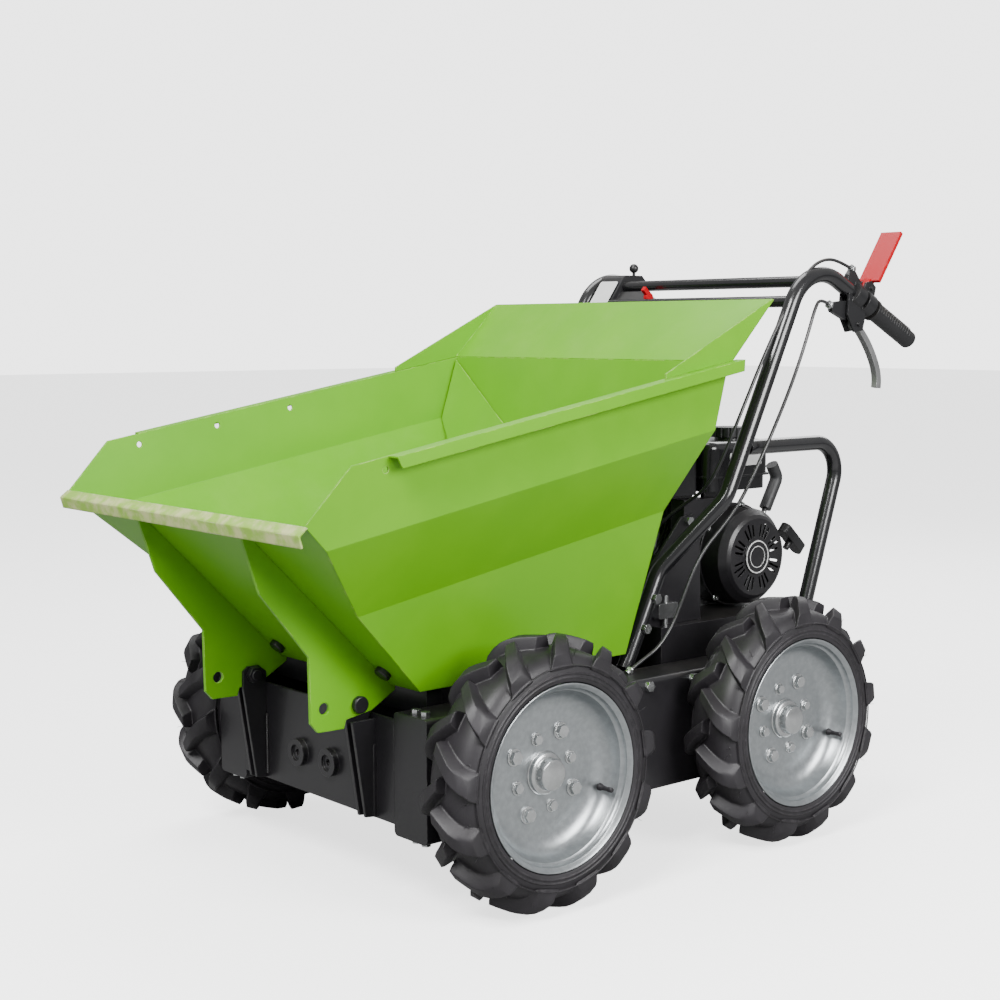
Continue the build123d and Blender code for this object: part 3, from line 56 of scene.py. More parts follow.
# ---------------------------------------------------------------- floor and studio light
# A plain pale floor in a white room. The key softbox stands in front and above, a second one lights the
# left side, and two weaker ones fill from overhead and behind. Seen by anything but the camera, the floor
# and the room are darker, so that undersides and black paint stay dark.
bpy.ops.mesh.primitive_plane_add(size=60, location=(0, 0, 0))
floor = bpy.context.object
floor.name = "studio_floor"
floor_paint = bpy.data.materials.new("studio_floor_paint")
floor_paint.use_nodes = True
floor_tree = floor_paint.node_tree
floor_shader = floor_tree.nodes["Principled BSDF"]
floor_shader.inputs["Base Color"].default_value = (0.94, 0.94, 0.94, 1)
floor_shader.inputs["Roughness"].default_value = 0.65
floor_shader.inputs["Emission Color"].default_value = (1, 1, 1, 1)
floor_shader.inputs["Emission Strength"].default_value = 2.0
floor_bounce = floor_tree.nodes.new("ShaderNodeBsdfDiffuse")
floor_bounce.inputs["Color"].default_value = (0.30, 0.30, 0.30, 1)
floor_rays = floor_tree.nodes.new("ShaderNodeLightPath")
floor_mix = floor_tree.nodes.new("ShaderNodeMixShader")
floor_tree.links.new(floor_rays.outputs["Is Camera Ray"], floor_mix.inputs["Fac"])
floor_tree.links.new(floor_bounce.outputs["BSDF"], floor_mix.inputs[1])
floor_tree.links.new(floor_shader.outputs["BSDF"], floor_mix.inputs[2])
floor_tree.links.new(floor_mix.outputs["Shader"], floor_tree.nodes["Material Output"].inputs["Surface"])
floor.data.materials.append(floor_paint)

room = bpy.data.worlds.new("studio_room")
bpy.context.scene.world = room
room.use_nodes = True
room_tree = room.node_tree
room_light = room_tree.nodes["Background"]
room_light.inputs["Color"].default_value = (0.98, 0.99, 1.0, 1)
room_light.inputs["Strength"].default_value = 0.5
room_wall = room_tree.nodes.new("ShaderNodeBackground")
room_wall.inputs["Color"].default_value = (1, 1, 1, 1)
room_wall.inputs["Strength"].default_value = 3.4
room_rays = room_tree.nodes.new("ShaderNodeLightPath")
room_mix = room_tree.nodes.new("ShaderNodeMixShader")
room_tree.links.new(room_rays.outputs["Is Camera Ray"], room_mix.inputs["Fac"])
room_tree.links.new(room_light.outputs["Background"], room_mix.inputs[1])
room_tree.links.new(room_wall.outputs["Background"], room_mix.inputs[2])
room_tree.links.new(room_mix.outputs["Shader"], room_tree.nodes["World Output"].inputs["Surface"])

studio_lights = {
    "key_softbox": ((2.8, 1.2, 3.4), (0, 0, 0.5), 1.6, 260),
    "side_softbox": ((-0.2, 3.6, 2.0), (0, 0, 0.4), 1.8, 190),
    "overhead_softbox": ((-0.4, -1.0, 3.6), (0, 0, 0.4), 1.8, 60),
    "rear_softbox": ((-3.2, -1.4, 2.8), (0, 0, 0.5), 2.0, 60),
}
for light_name, (place, target, size, watts) in studio_lights.items():
    light_data = bpy.data.lights.new(light_name, "AREA")
    light_data.size = size
    light_data.energy = watts
    light = bpy.data.objects.new(light_name, light_data)
    bpy.context.scene.collection.objects.link(light)
    light.location = place
    light.rotation_euler = (Vector(target) - Vector(place)).to_track_quat("-Z", "Y").to_euler()


# ---------------------------------------------------------------- skip paint
# Folded sheet steel under a gloss green powder coat. It has the coat's fine orange peel, dust that
# settles in broad patches, and pale wear on its cut edges.
def new_group(name, inputs, outputs):
    """An empty shader node group with float inputs (name, value) and outputs (name, kind)."""
    group = bpy.data.node_groups.new(name, "ShaderNodeTree")
    for socket_name, value in inputs:
        socket = group.interface.new_socket(socket_name, in_out="INPUT", socket_type="NodeSocketFloat")
        socket.default_value = value
    for socket_name, kind in outputs:
        group.interface.new_socket(socket_name, in_out="OUTPUT", socket_type="NodeSocket" + kind)
    entry = group.nodes.new("NodeGroupInput")
    leave = group.nodes.new("NodeGroupOutput")
    return group, entry, leave


def add_node(tree, kind, settings=None, values=None):
    """A node of this kind, with its settings and its unlinked input values."""
    node = tree.nodes.new("ShaderNode" + kind)
    for key, value in (settings or {}).items():
        setattr(node, key, value)
    for key, value in (values or {}).items():
        node.inputs[key].default_value = value
    return node


def link(tree, source, target):
    tree.links.new(source, target)


def ramp(tree, source, low, high):
    """A smooth step of a value from 0 at low to 1 at high."""
    limits = {"From Min": low, "From Max": high}
    step = add_node(tree, "MapRange", {"interpolation_type": "SMOOTHSTEP"}, limits)
    link(tree, source, step.inputs["Value"])
    return step.outputs["Result"]


edge_wear, wear_in, wear_out = new_group(
    "edge_wear", [("Radius", 0.002), ("Breakup", 60.0)], [("Mask", "Float"), ("Normal", "Vector")]
)
rounded = add_node(edge_wear, "Bevel", {"samples": 6})
link(edge_wear, wear_in.outputs["Radius"], rounded.inputs["Radius"])
surface = add_node(edge_wear, "NewGeometry")
turn = add_node(edge_wear, "VectorMath", {"operation": "DOT_PRODUCT"})
link(edge_wear, rounded.outputs["Normal"], turn.inputs[0])
link(edge_wear, surface.outputs["True Normal"], turn.inputs[1])
sharpness = add_node(edge_wear, "Math", {"operation": "SUBTRACT"}, {0: 1.0})
link(edge_wear, turn.outputs["Value"], sharpness.inputs[1])
place = add_node(edge_wear, "TexCoord")
chips = add_node(edge_wear, "TexNoise", None, {"Detail": 5.0, "Roughness": 0.65})
link(edge_wear, place.outputs["Object"], chips.inputs["Vector"])
link(edge_wear, wear_in.outputs["Breakup"], chips.inputs["Scale"])
edge_step = ramp(edge_wear, sharpness.outputs["Value"], 0.03, 0.16)
chip_step = ramp(edge_wear, chips.outputs["Fac"], 0.46, 0.60)
worn = add_node(edge_wear, "Math", {"operation": "MULTIPLY"})
link(edge_wear, edge_step, worn.inputs[0])
link(edge_wear, chip_step, worn.inputs[1])
link(edge_wear, worn.outputs["Value"], wear_out.inputs["Mask"])
link(edge_wear, rounded.outputs["Normal"], wear_out.inputs["Normal"])

fine_relief, relief_in, relief_out = new_group(
    "fine_relief", [("Grain Scale", 900.0), ("Patch Scale", 6.0)], [("Grain", "Float"), ("Patches", "Float")]
)
relief_place = add_node(fine_relief, "TexCoord")
for scale_name, out_name, detail in (("Grain Scale", "Grain", 2.0), ("Patch Scale", "Patches", 6.0)):
    field = add_node(fine_relief, "TexNoise", None, {"Detail": detail, "Roughness": 0.6})
    link(fine_relief, relief_place.outputs["Object"], field.inputs["Vector"])
    link(fine_relief, relief_in.outputs[scale_name], field.inputs["Scale"])
    link(fine_relief, field.outputs["Fac"], relief_out.inputs[out_name])

settled_dust, dust_in, dust_out = new_group(
    "settled_dust", [("Amount", 0.4), ("Scale", 9.0)], [("Mask", "Float")]
)
dust_geometry = add_node(settled_dust, "NewGeometry")
dust_up = add_node(settled_dust, "SeparateXYZ")
link(settled_dust, dust_geometry.outputs["Normal"], dust_up.inputs["Vector"])
dust_place = add_node(settled_dust, "TexCoord")
dust_field = add_node(settled_dust, "TexNoise", None, {"Detail": 8.0, "Roughness": 0.7})
link(settled_dust, dust_place.outputs["Object"], dust_field.inputs["Vector"])
link(settled_dust, dust_in.outputs["Scale"], dust_field.inputs["Scale"])
dust_level = add_node(settled_dust, "Math", {"operation": "MULTIPLY"})
link(settled_dust, ramp(settled_dust, dust_up.outputs["Z"], -0.2, 1.0), dust_level.inputs[0])
link(settled_dust, ramp(settled_dust, dust_field.outputs["Fac"], 0.35, 0.8), dust_level.inputs[1])
dust_amount = add_node(settled_dust, "Math", {"operation": "MULTIPLY"})
link(settled_dust, dust_level.outputs["Value"], dust_amount.inputs[0])
link(settled_dust, dust_in.outputs["Amount"], dust_amount.inputs[1])
link(settled_dust, dust_amount.outputs["Value"], dust_out.inputs["Mask"])


def mix_colour(tree, factor, first, second, blend="MIX"):
    """A colour mix whose two colours are sockets or plain RGB values."""
    mixed = add_node(tree, "Mix", {"data_type": "RGBA", "blend_type": blend})
    if isinstance(factor, (int, float)):
        mixed.inputs["Factor"].default_value = factor
    else:
        link(tree, factor, mixed.inputs["Factor"])
    for index, colour in ((6, first), (7, second)):
        if isinstance(colour, tuple):
            mixed.inputs[index].default_value = (*colour, 1)
        else:
            link(tree, colour, mixed.inputs[index])
    return mixed.outputs[2]


def mix_value(tree, factor, first, second):
    """A value between two plain numbers."""
    mixed = add_node(tree, "Mix", {"data_type": "FLOAT"}, {2: first, 3: second})
    link(tree, factor, mixed.inputs["Factor"])
    return mixed.outputs[0]


def finish_material(
    name, base, patch, worn, rough, metallic=0.0, coat=0.0, specular=0.5, grain=900.0, grain_depth=0.00004,
    edge=0.0015, chips=60.0, dust=0.3, dust_colour=(0.42, 0.38, 0.32), patches=6.0, worn_metal=0.0,
):
    """A finished surface: base and patch colours, edge wear, dust, grain bump and varied roughness."""
    material = bpy.data.materials.new(name)
    material.use_nodes = True
    tree = material.node_tree
    shader = tree.nodes["Principled BSDF"]
    shader.inputs["Coat Roughness"].default_value = 0.12
    shader.inputs["Coat Weight"].default_value = coat
    shader.inputs["Specular IOR Level"].default_value = specular
    relief_scales = {"Grain Scale": grain, "Patch Scale": patches}
    relief = add_node(tree, "Group", {"node_tree": fine_relief}, relief_scales)
    wear = add_node(tree, "Group", {"node_tree": edge_wear}, {"Radius": edge, "Breakup": chips})
    grime = add_node(tree, "Group", {"node_tree": settled_dust}, {"Amount": dust})
    patch_step = ramp(tree, relief.outputs["Patches"], 0.38, 0.66)
    tone = mix_colour(tree, patch_step, base, patch)
    tone = mix_colour(tree, grime.outputs["Mask"], tone, dust_colour)
    tone = mix_colour(tree, wear.outputs["Mask"], tone, worn)
    link(tree, tone, shader.inputs["Base Color"])
    link(tree, mix_value(tree, relief.outputs["Patches"], rough[0], rough[1]), shader.inputs["Roughness"])
    if worn_metal:
        link(tree, mix_value(tree, wear.outputs["Mask"], metallic, worn_metal), shader.inputs["Metallic"])
    else:
        shader.inputs["Metallic"].default_value = metallic
    bump = add_node(tree, "Bump", None, {"Strength": 1.0, "Distance": grain_depth})
    link(tree, relief.outputs["Grain"], bump.inputs["Height"])
    link(tree, wear.outputs["Normal"], bump.inputs["Normal"])
    link(tree, bump.outputs["Normal"], shader.inputs["Normal"])
    return material


def paint(material, *names):
    """Gives one material to all the slots of these CAD nodes."""
    for name in names:
        meshes = nodes[name].data
        meshes.materials.clear()
        meshes.materials.append(material)


skip_green = finish_material(
    "skip_green_powder_coat", (0.115, 0.365, 0.0015), (0.130, 0.390, 0.003), (0.38, 0.56, 0.12), (0.34, 0.48),
    coat=0.04, specular=0.28, grain=700.0, grain_depth=0.00005, edge=0.0022, chips=35.0, dust=0.10,
    dust_colour=(0.45, 0.5, 0.22),
)
paint(skip_green, "skip_sides", "skip_front", "skip_floor", "skip_rear", "rim_flanges", "chute")
paint(skip_green, "corner_gussets", "pivot_brackets")

# The lip is a thick folded bar that every load rubs over. Its paint is paler than the body's: partly scuffed
# wear, partly a painted highlight for the light falling on its forward, upward face.
lip_paint_with_painted_highlight = finish_material(
    "lip_paint_scuffed_and_painted_highlight", (0.24, 0.44, 0.04), (0.48, 0.52, 0.22), (0.60, 0.62, 0.40), (0.38, 0.6),
    grain=260.0, grain_depth=0.00012, edge=0.003, chips=28.0, dust=0.12, patches=38.0,
)
paint(lip_paint_with_painted_highlight, "skip_lip")

# ---------------------------------------------------------------- chassis paint
# The chassis, posts, cases and bed are folded and welded steel plate under satin black powder coat.
# Their edges are cut by laser, so they are crisp, and the coat wears thin there first.
satin_black = finish_material(
    "frame_satin_black", (0.007, 0.0065, 0.008), (0.011, 0.010, 0.012), (0.06, 0.06, 0.06), (0.30, 0.46),
    coat=0.15, grain=620.0, grain_depth=0.00006, edge=0.002, chips=45.0, dust=0.06,
)
paint(satin_black, "chassis_tub", "front_plate", "pivot_posts", "chain_cases", "engine_bed", "foot_gussets")
paint(satin_black, "belt_guard", "stop_bolts", "pivot_bolts")

# The bent tubes have a glossier coat, which shows long bright reflections.
gloss_black = finish_material(
    "tube_gloss_black", (0.007, 0.007, 0.008), (0.010, 0.010, 0.011), (0.06, 0.06, 0.06), (0.16, 0.28),
    coat=0.5, grain=500.0, grain_depth=0.00003, edge=0.001, chips=70.0, dust=0.04,
)
paint(gloss_black, "handle_tubes", "engine_hoops", "crossbars")

# ---------------------------------------------------------------- wheels
# Each wheel is a galvanised pressed steel rim with a finely spangled surface and a moulded rubber tyre.
# Bright zinc-plated bolts hold the rim on a turned hub, whose axle carries the chain sprocket.
zinc = finish_material(
    "rim_galvanised", (0.33, 0.35, 0.36), (0.385, 0.405, 0.415), (0.62, 0.64, 0.64), (0.27, 0.40),
    metallic=0.9, grain=420.0, grain_depth=0.00006, edge=0.0015, chips=40.0, dust=0.04, patches=110.0,
)
bright_zinc = finish_material(
    "fastener_bright_zinc", (0.50, 0.51, 0.51), (0.56, 0.57, 0.57), (0.80, 0.80, 0.80), (0.20, 0.30),
    metallic=0.95, grain=900.0, grain_depth=0.00002, edge=0.0006, chips=160.0, dust=0.02, patches=120.0,
)
tyre_rubber = finish_material(
    "tyre_rubber", (0.010, 0.0085, 0.0105), (0.015, 0.013, 0.016), (0.035, 0.032, 0.035), (0.40, 0.58),
    grain=420.0, grain_depth=0.00014, edge=0.003, chips=80.0, dust=0.10, dust_colour=(0.10, 0.09, 0.09),
    patches=14.0,
)
corners = ("front_left", "front_right", "rear_left", "rear_right")
for corner in corners:
    paint(zinc, "rim_" + corner)
    paint(bright_zinc, "hub_" + corner)
    paint(tyre_rubber, "tyre_" + corner)
paint(bright_zinc, "axle_bearings", "frame_bolts", "cable_fittings")


def new_piece(name, mesh, material, body):
    """A finished piece from a mesh, which rides on a CAD body."""
    piece = bpy.data.objects.new(name, mesh)
    bpy.context.scene.collection.objects.link(piece)
    mesh.materials.append(material)
    for polygon in mesh.polygons:
        polygon.use_smooth = True
    mesh.set_sharp_from_angle(angle=radians(38))
    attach(piece, body)
    return piece


def lathe(bm, profile, steps, place):
    """Turns a profile of (along, radius) points about local X, placed by a matrix."""
    rings = []
    for step in range(steps):
        angle = 2 * pi * step / steps
        ring = [bm.verts.new(place @ Vector((a, r * cos(angle), r * sin(angle)))) for a, r in profile]
        rings.append(ring)
    for here, after in zip(rings, rings[1:] + rings[:1]):
        for index in range(len(profile) - 1):
            bm.faces.new((here[index], here[index + 1], after[index + 1], after[index]))


def closed_section(centre_a, centre_r, half_a, half_r, count=10):
    """A closed rounded section, given as (along, radius) points that end where they start."""
    points = []
    for index in range(count + 1):
        turn_angle = 2 * pi * index / count
        points.append((centre_a + half_a * cos(turn_angle), centre_r + half_r * sin(turn_angle)))
    return points


def to_mesh(bm, name):
    """Closes a bmesh into a mesh with welded points and outward faces."""
    bmesh.ops.remove_doubles(bm, verts=bm.verts, dist=0.00001)
    bmesh.ops.recalc_face_normals(bm, faces=bm.faces)
    mesh = bpy.data.meshes.new(name)
    bm.to_mesh(mesh)
    bm.free()
    return mesh


def hex_bolt(bm, seat, outward, across, height):
    """A flanged hexagon bolt head standing on a surface."""
    turn_to = outward.to_track_quat("X", "Z").to_matrix().to_4x4()
    bolt_place = Matrix.Translation(seat) @ turn_to
    washer = [(0, 0), (0, across * 0.72), (height * 0.25, across * 0.70)]
    washer += [(height * 0.3, across * 0.5), (height * 0.3, 0)]
    lathe(bm, washer, 24, bolt_place)
    head_radius = across / 3**0.5
    lower = []
    upper = []
    trim = head_radius * 0.92
    for step in range(6):
        across_y = cos(radians(60 * step))
        across_z = sin(radians(60 * step))
        low_spot = Vector((height * 0.28, head_radius * across_y, head_radius * across_z))
        high_spot = Vector((height, trim * across_y, trim * across_z))
        lower.append(bm.verts.new(bolt_place @ low_spot))
        upper.append(bm.verts.new(bolt_place @ high_spot))
    bm.faces.new(upper)
    bm.faces.new(list(reversed(lower)))
    for step in range(6):
        after = (step + 1) % 6
        bm.faces.new((lower[step], lower[after], upper[after], upper[step]))


# Each tyre is a rounded carcass with two rows of slanting lugs that run down over its shoulders, three
# low ribs round each side wall and thin rubber hairs left by the mould. The rim is one deep dish with
# a wide soft radius and two rolled beads at its edge; a stepped cap closes the hub.
tyre_radius = 0.206
lug_rise = 0.019
carcass_radius = tyre_radius - lug_rise
lug_count = 13
lug_chamfer = 0.005
rib_radii = (0.1485, 0.1545, 0.166)
hair_count = 26
hair_root = 0.174


def carcass_section(steps=14):
    """The tyre's closed section: rounded outside, open to the rim inside."""
    outer = []
    for step in range(steps + 1):
        angle = pi / 2 * step / steps
        radius = 0.146 + (carcass_radius - 0.146) * sin(angle) ** 0.9
        outer.append((0.0505 * cos(angle) ** 0.62, radius))
    bead = [(0.045, 0.1405), (0.0485, 0.1415)]
    left = bead + outer
    right = [(-along, radius) for along, radius in reversed(left)]
    inner = [(-0.040, 0.140), (-0.036, 0.158), (0.0, carcass_radius - 0.012), (0.036, 0.158), (0.040, 0.140)]
    return left + right[1:] + inner + [left[0]]


def add_lug(bm, place, side, turn, wobble):
    """One tapered lug: it starts near the middle of the tread and sweeps back down over the shoulder."""
    spine = []
    reach = 7
    for step in range(reach + 1):
        share = step / reach
        bend = min(1.0, max(0.0, (share - 0.45) / 0.55))
        along = side * (-0.007 + 0.0582 * share - 0.0012 * bend)
        top = tyre_radius - 0.0003 - 0.021 * bend**2.2
        foot = min(carcass_radius - 0.004, top - 0.010) - 0.012 * bend
        sweep = turn + radians(14.0) * (share - 0.35) + wobble
        wide = 0.0120 + 0.0055 * share
        spine.append((along, top, foot, sweep, wide))
    rings = []
    for along, top, foot, sweep, wide in spine:
        ring = []
        shoulder = top - lug_chamfer
        section = ((-1.25, foot), (-0.92, shoulder), (-0.7, top), (0.7, top), (0.92, shoulder), (1.25, foot))
        for across, radius in section:
            angle = sweep + across * wide / radius
            ring.append(bm.verts.new(place @ Vector((along, radius * cos(angle), radius * sin(angle)))))
        rings.append(ring)
    for here, after in zip(rings, rings[1:]):
        for index in range(len(here)):
            following = (index + 1) % len(here)
            bm.faces.new((here[index], here[following], after[following], after[index]))
    bm.faces.new(rings[0])
    bm.faces.new(list(reversed(rings[-1])))


rim_half = 0.0500
dish_depth = 0.0040
bolt_bite = 0.0002
axle_radius = 0.0125
rim_outer = [
    (rim_half - 0.0035, 0.1400), (rim_half - 0.0008, 0.1400), (rim_half, 0.1388), (rim_half - 0.0008, 0.1372),
    (rim_half - 0.0045, 0.1345), (rim_half - 0.0060, 0.1325), (rim_half - 0.0100, 0.1318),
    (rim_half - 0.0130, 0.1300), (rim_half - 0.0150, 0.1270), (rim_half - 0.0200, 0.1255),
    (rim_half - 0.0290, 0.1225), (rim_half - 0.0360, 0.1180), (rim_half - 0.0420, 0.1100),
    (dish_depth + 0.0006, 0.0980), (dish_depth, 0.0880), (dish_depth, 0.0300),
]
rim_back = [(dish_depth - 0.0035, 0.0300), (dish_depth - 0.0035, 0.0900), (0.0020, 0.1010), (0.0060, 0.1140)]
rim_back += [(0.0100, 0.1215), (0.0300, 0.1285), (0.0330, 0.1330), (rim_half - 0.0080, 0.1345)]
barrel = [(-0.0300, 0.1215), (-0.0360, 0.1330), (-rim_half + 0.0060, 0.1345), (-rim_half + 0.0015, 0.1375)]
barrel += [(-rim_half, 0.1400), (-rim_half, 0.1385), (-rim_half + 0.0035, 0.1330), (-0.0330, 0.1310)]
barrel += [(-0.0280, 0.1190), (0.0100, 0.1190)]
for corner in corners:
    low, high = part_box("tyre_" + corner)
    hub_centre = (low + high) / 2
    outboard = 1 if "left" in corner else -1
    axle_place = Matrix.Translation(hub_centre) @ Matrix.Rotation(radians(90 * outboard), 4, "Z")
    bm = bmesh.new()
    lathe(bm, carcass_section(), 120, axle_place)
    for side in (1, -1):
        for radius in rib_radii:
            lathe(bm, closed_section(side * 0.0503, radius, 0.0012, 0.0011), 96, axle_place)
        for count in range(lug_count):
            turn = 2 * pi * (count + (0.0 if side > 0 else 0.5)) / lug_count
            add_lug(bm, axle_place, side, turn, 0.006 * noise.noise(Vector((count, side, 2.2))))
    hair_seed = 7 + corners.index(corner) * 13
    for index in range(hair_count):
        spread = noise.noise(Vector((index * 3.7, hair_seed, 0.5)))
        angle = 2 * pi * index / hair_count + 0.12 * spread
        root = Vector((0.0400, hair_root * cos(angle), hair_root * sin(angle)))
        sway = 0.3 * noise.noise(Vector((hair_seed, index * 2.3, 1)))
        lean = Vector((0.3 + 0.2 * spread, cos(angle) - sway * sin(angle), sin(angle) + sway * cos(angle)))
        hair = lean.to_track_quat("X", "Z").to_matrix().to_4x4()
        length = 0.015 + 0.006 * abs(spread)
        hair_profile = [(0, 0), (0, 0.00055), (length, 0.0003), (length, 0)]
        lathe(bm, hair_profile, 6, axle_place @ Matrix.Translation(root) @ hair)
    wheel = "wheel_" + corner
    tyre = new_piece("lugged_tyre_" + corner, to_mesh(bm, "lugged_tyre"), tyre_rubber, wheel)
    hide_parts("tyre_" + corner)

    bm = bmesh.new()
    lathe(bm, rim_outer + rim_back + [(rim_half - 0.0035, 0.1400)], 128, axle_place)
    lathe(bm, barrel + [barrel[0]], 96, axle_place)
    rim = new_piece("dished_rim_" + corner, to_mesh(bm, "dished_rim"), zinc, wheel)
    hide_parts("rim_" + corner)

    bm = bmesh.new()
    for step in range(4):
        for across, spot, start in ((0.019, 0.0665, 29), (0.0145, 0.0540, -16)):
            angle = radians(180 - start + 90 * step) if outboard > 0 else radians(start + 90 * step)
            seat = axle_place @ Vector((dish_depth - bolt_bite, spot * cos(angle), spot * sin(angle)))
            hex_bolt(bm, seat, Vector((0, outboard, 0)), across, across * 0.5)
    cap = [(dish_depth, 0), (dish_depth, 0.0330), (0.0050, 0.0330), (0.0062, 0.0315), (0.0120, 0.0310)]
    cap += [(0.0135, 0.0290), (0.0140, 0.0245), (0.0240, 0.0240), (0.0265, 0.0228), (0.0275, 0.0205)]
    lathe(bm, cap + [(0.0275, 0)], 64, axle_place)
    hub_low, hub_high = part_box("hub_" + corner)
    axle_reach = abs(hub_low.y if outboard > 0 else hub_high.y) - abs(hub_centre.y)
    flange_back = dish_depth - 0.0036
    flange_rear = flange_back - 0.0070
    boss_rear = flange_back - 0.0310
    hub = [(flange_back, 0), (flange_back, 0.0740), (flange_rear, 0.0740), (flange_rear, 0.0240)]
    hub += [(boss_rear, 0.0220), (boss_rear, axle_radius), (-0.0930, axle_radius), (-0.0930, 0.0240)]
    hub += [(-0.1010, 0.0240), (-0.1010, 0.0480), (-0.1090, 0.0480), (-0.1090, 0.0240), (-0.1180, 0.0240)]
    hub += [(-0.1180, axle_radius), (axle_reach + 0.001, axle_radius), (axle_reach, 0.0115), (axle_reach, 0)]
    lathe(bm, hub, 64, axle_place)
    hub_mesh = to_mesh(bm, "hub_and_cap")
    hub_piece = new_piece("hub_and_cap_" + corner, hub_mesh, bright_zinc, wheel)
    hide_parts("hub_" + corner)

    bm = bmesh.new()
    stem_turn = radians(-20 * outboard + (180 if outboard < 0 else 0))
    stem_place = axle_place @ Matrix.Rotation(stem_turn, 4, "X") @ Matrix.Translation((0.0150, 0.1090, 0))
    stem_profile = [(0, 0), (0, 0.0060), (0.004, 0.0055), (0.006, 0.0040), (0.018, 0.0034), (0.019, 0.0040)]
    stem_profile += [(0.027, 0.0040), (0.028, 0.003), (0.028, 0)]
    lathe(bm, stem_profile, 20, stem_place)
    new_piece("valve_stem_" + corner, to_mesh(bm, "valve_stem"), tyre_rubber, wheel)

# ---------------------------------------------------------------- grips and hand controls
# Soft black rubber grips, moulded with rings for the fingers, are pushed over the tube ends. The perches
# and the console are moulded plastic, the brake lever is a casting and the clutch lever is painted red.
grip_rubber = finish_material(
    "grip_soft_rubber", (0.008, 0.008, 0.009), (0.012, 0.012, 0.013), (0.03, 0.03, 0.03), (0.42, 0.58),
    grain=1100.0, grain_depth=0.00010, edge=0.0015, chips=90.0, dust=0.2,
)
paint(grip_rubber, "grips")
moulded_black = finish_material(
    "moulded_black_plastic", (0.008, 0.008, 0.009), (0.012, 0.012, 0.013), (0.04, 0.04, 0.04), (0.32, 0.46),
    grain=1300.0, grain_depth=0.00007, edge=0.0014, chips=110.0, dust=0.05,
)
paint(moulded_black, "lever_perches", "console_box", "gear_lever")
paint(moulded_black, "fuel_cap", "air_cleaner", "starter_handle")
lever_red = finish_material(
    "lever_gloss_red", (0.40, 0.0005, 0.006), (0.43, 0.0005, 0.007), (0.60, 0.05, 0.05), (0.20, 0.30),
    coat=0.05, specular=0.2, grain=700.0, grain_depth=0.00003, edge=0.0012, chips=100.0,
    dust=0.0,
)
paint(lever_red, "clutch_lever", "engine_switch")
cast_lever = finish_material(
    "lever_cast_grey", (0.26, 0.26, 0.26), (0.34, 0.34, 0.34), (0.60, 0.60, 0.59), (0.28, 0.42),
    metallic=0.7, grain=420.0, grain_depth=0.00008, edge=0.0012, chips=90.0, dust=0.12, patches=30.0,
)
paint(cast_lever, "brake_lever")

for side, side_name in ((1, "left"), (-1, "right")):
    low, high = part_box("grips")
    grip_end = Vector((low.x + 0.008, side * 0.262, low.z + 0.0165))
    grip_axis = Vector((2, 0, 1)).normalized()
    grip_place = Matrix.Translation(grip_end) @ grip_axis.to_track_quat("X", "Z").to_matrix().to_4x4()
    bm = bmesh.new()
    for ring in range(14):
        lathe(bm, closed_section(0.018 + 0.0072 * ring, 0.0164, 0.0024, 0.0006), 36, grip_place)
    new_piece("grip_rings_" + side_name, to_mesh(bm, "grip_rings"), grip_rubber, "chassis")

# The tip release is a bright rod below and a moulded grip above: one lever, two finishes.
release_finish = finish_material(
    "release_rod_and_grip", (0.55, 0.55, 0.55), (0.66, 0.66, 0.65), (0.8, 0.8, 0.8), (0.24, 0.4),
    grain=700.0, grain_depth=0.00005, edge=0.001, chips=90.0, dust=0.1,
)
release_tree = release_finish.node_tree
release_shader = release_tree.nodes["Principled BSDF"]
release_place = add_node(release_tree, "TexCoord")
release_height = add_node(release_tree, "SeparateXYZ")
link(release_tree, release_place.outputs["Object"], release_height.inputs["Vector"])
grip_mask = ramp(release_tree, release_height.outputs["Z"], 0.505, 0.508)
bright_tone = release_shader.inputs["Base Color"].links[0].from_socket
release_tone = mix_colour(release_tree, grip_mask, bright_tone, (0.022, 0.022, 0.023))
link(release_tree, release_tone, release_shader.inputs["Base Color"])
link(release_tree, mix_value(release_tree, grip_mask, 0.9, 0.0), release_shader.inputs["Metallic"])
link(release_tree, mix_value(release_tree, grip_mask, 0.28, 0.5), release_shader.inputs["Roughness"])
paint(release_finish, "release_lever")

# ---------------------------------------------------------------- engine
# A small air-cooled petrol engine: sand-blasted grey castings for the block, head and gearbox, pressed
# steel covers under black paint, and a gloss black tank. The muffler's coat is dulled by heat.
cast_grey = finish_material(
    "engine_cast_grey", (0.21, 0.215, 0.22), (0.29, 0.295, 0.30), (0.52, 0.52, 0.52), (0.42, 0.60),
    metallic=0.6, grain=300.0, grain_depth=0.00018, edge=0.0015, chips=80.0, dust=0.25, patches=24.0,
)
paint(cast_grey, "engine_block", "cylinder_head", "gearbox_case")
paint(satin_black, "fan_housing", "recoil_cover")
paint(gloss_black, "fuel_tank")
heat_black = finish_material(
    "muffler_heat_black", (0.012, 0.011, 0.011), (0.022, 0.021, 0.020), (0.10, 0.08, 0.07), (0.55, 0.75),
    grain=380.0, grain_depth=0.00012, edge=0.0018, chips=60.0, dust=0.1, patches=18.0,
)
paint(heat_black, "muffler")
turned_steel = finish_material(
    "pulley_turned_steel", (0.30, 0.30, 0.31), (0.40, 0.40, 0.41), (0.6, 0.6, 0.6), (0.28, 0.42),
    metallic=0.9, grain=800.0, grain_depth=0.00005, edge=0.001, chips=90.0, dust=0.15, patches=30.0,
)
paint(turned_steel, "engine_pulley", "gearbox_pulley", "drive_chains")
paint(grip_rubber, "drive_belt")


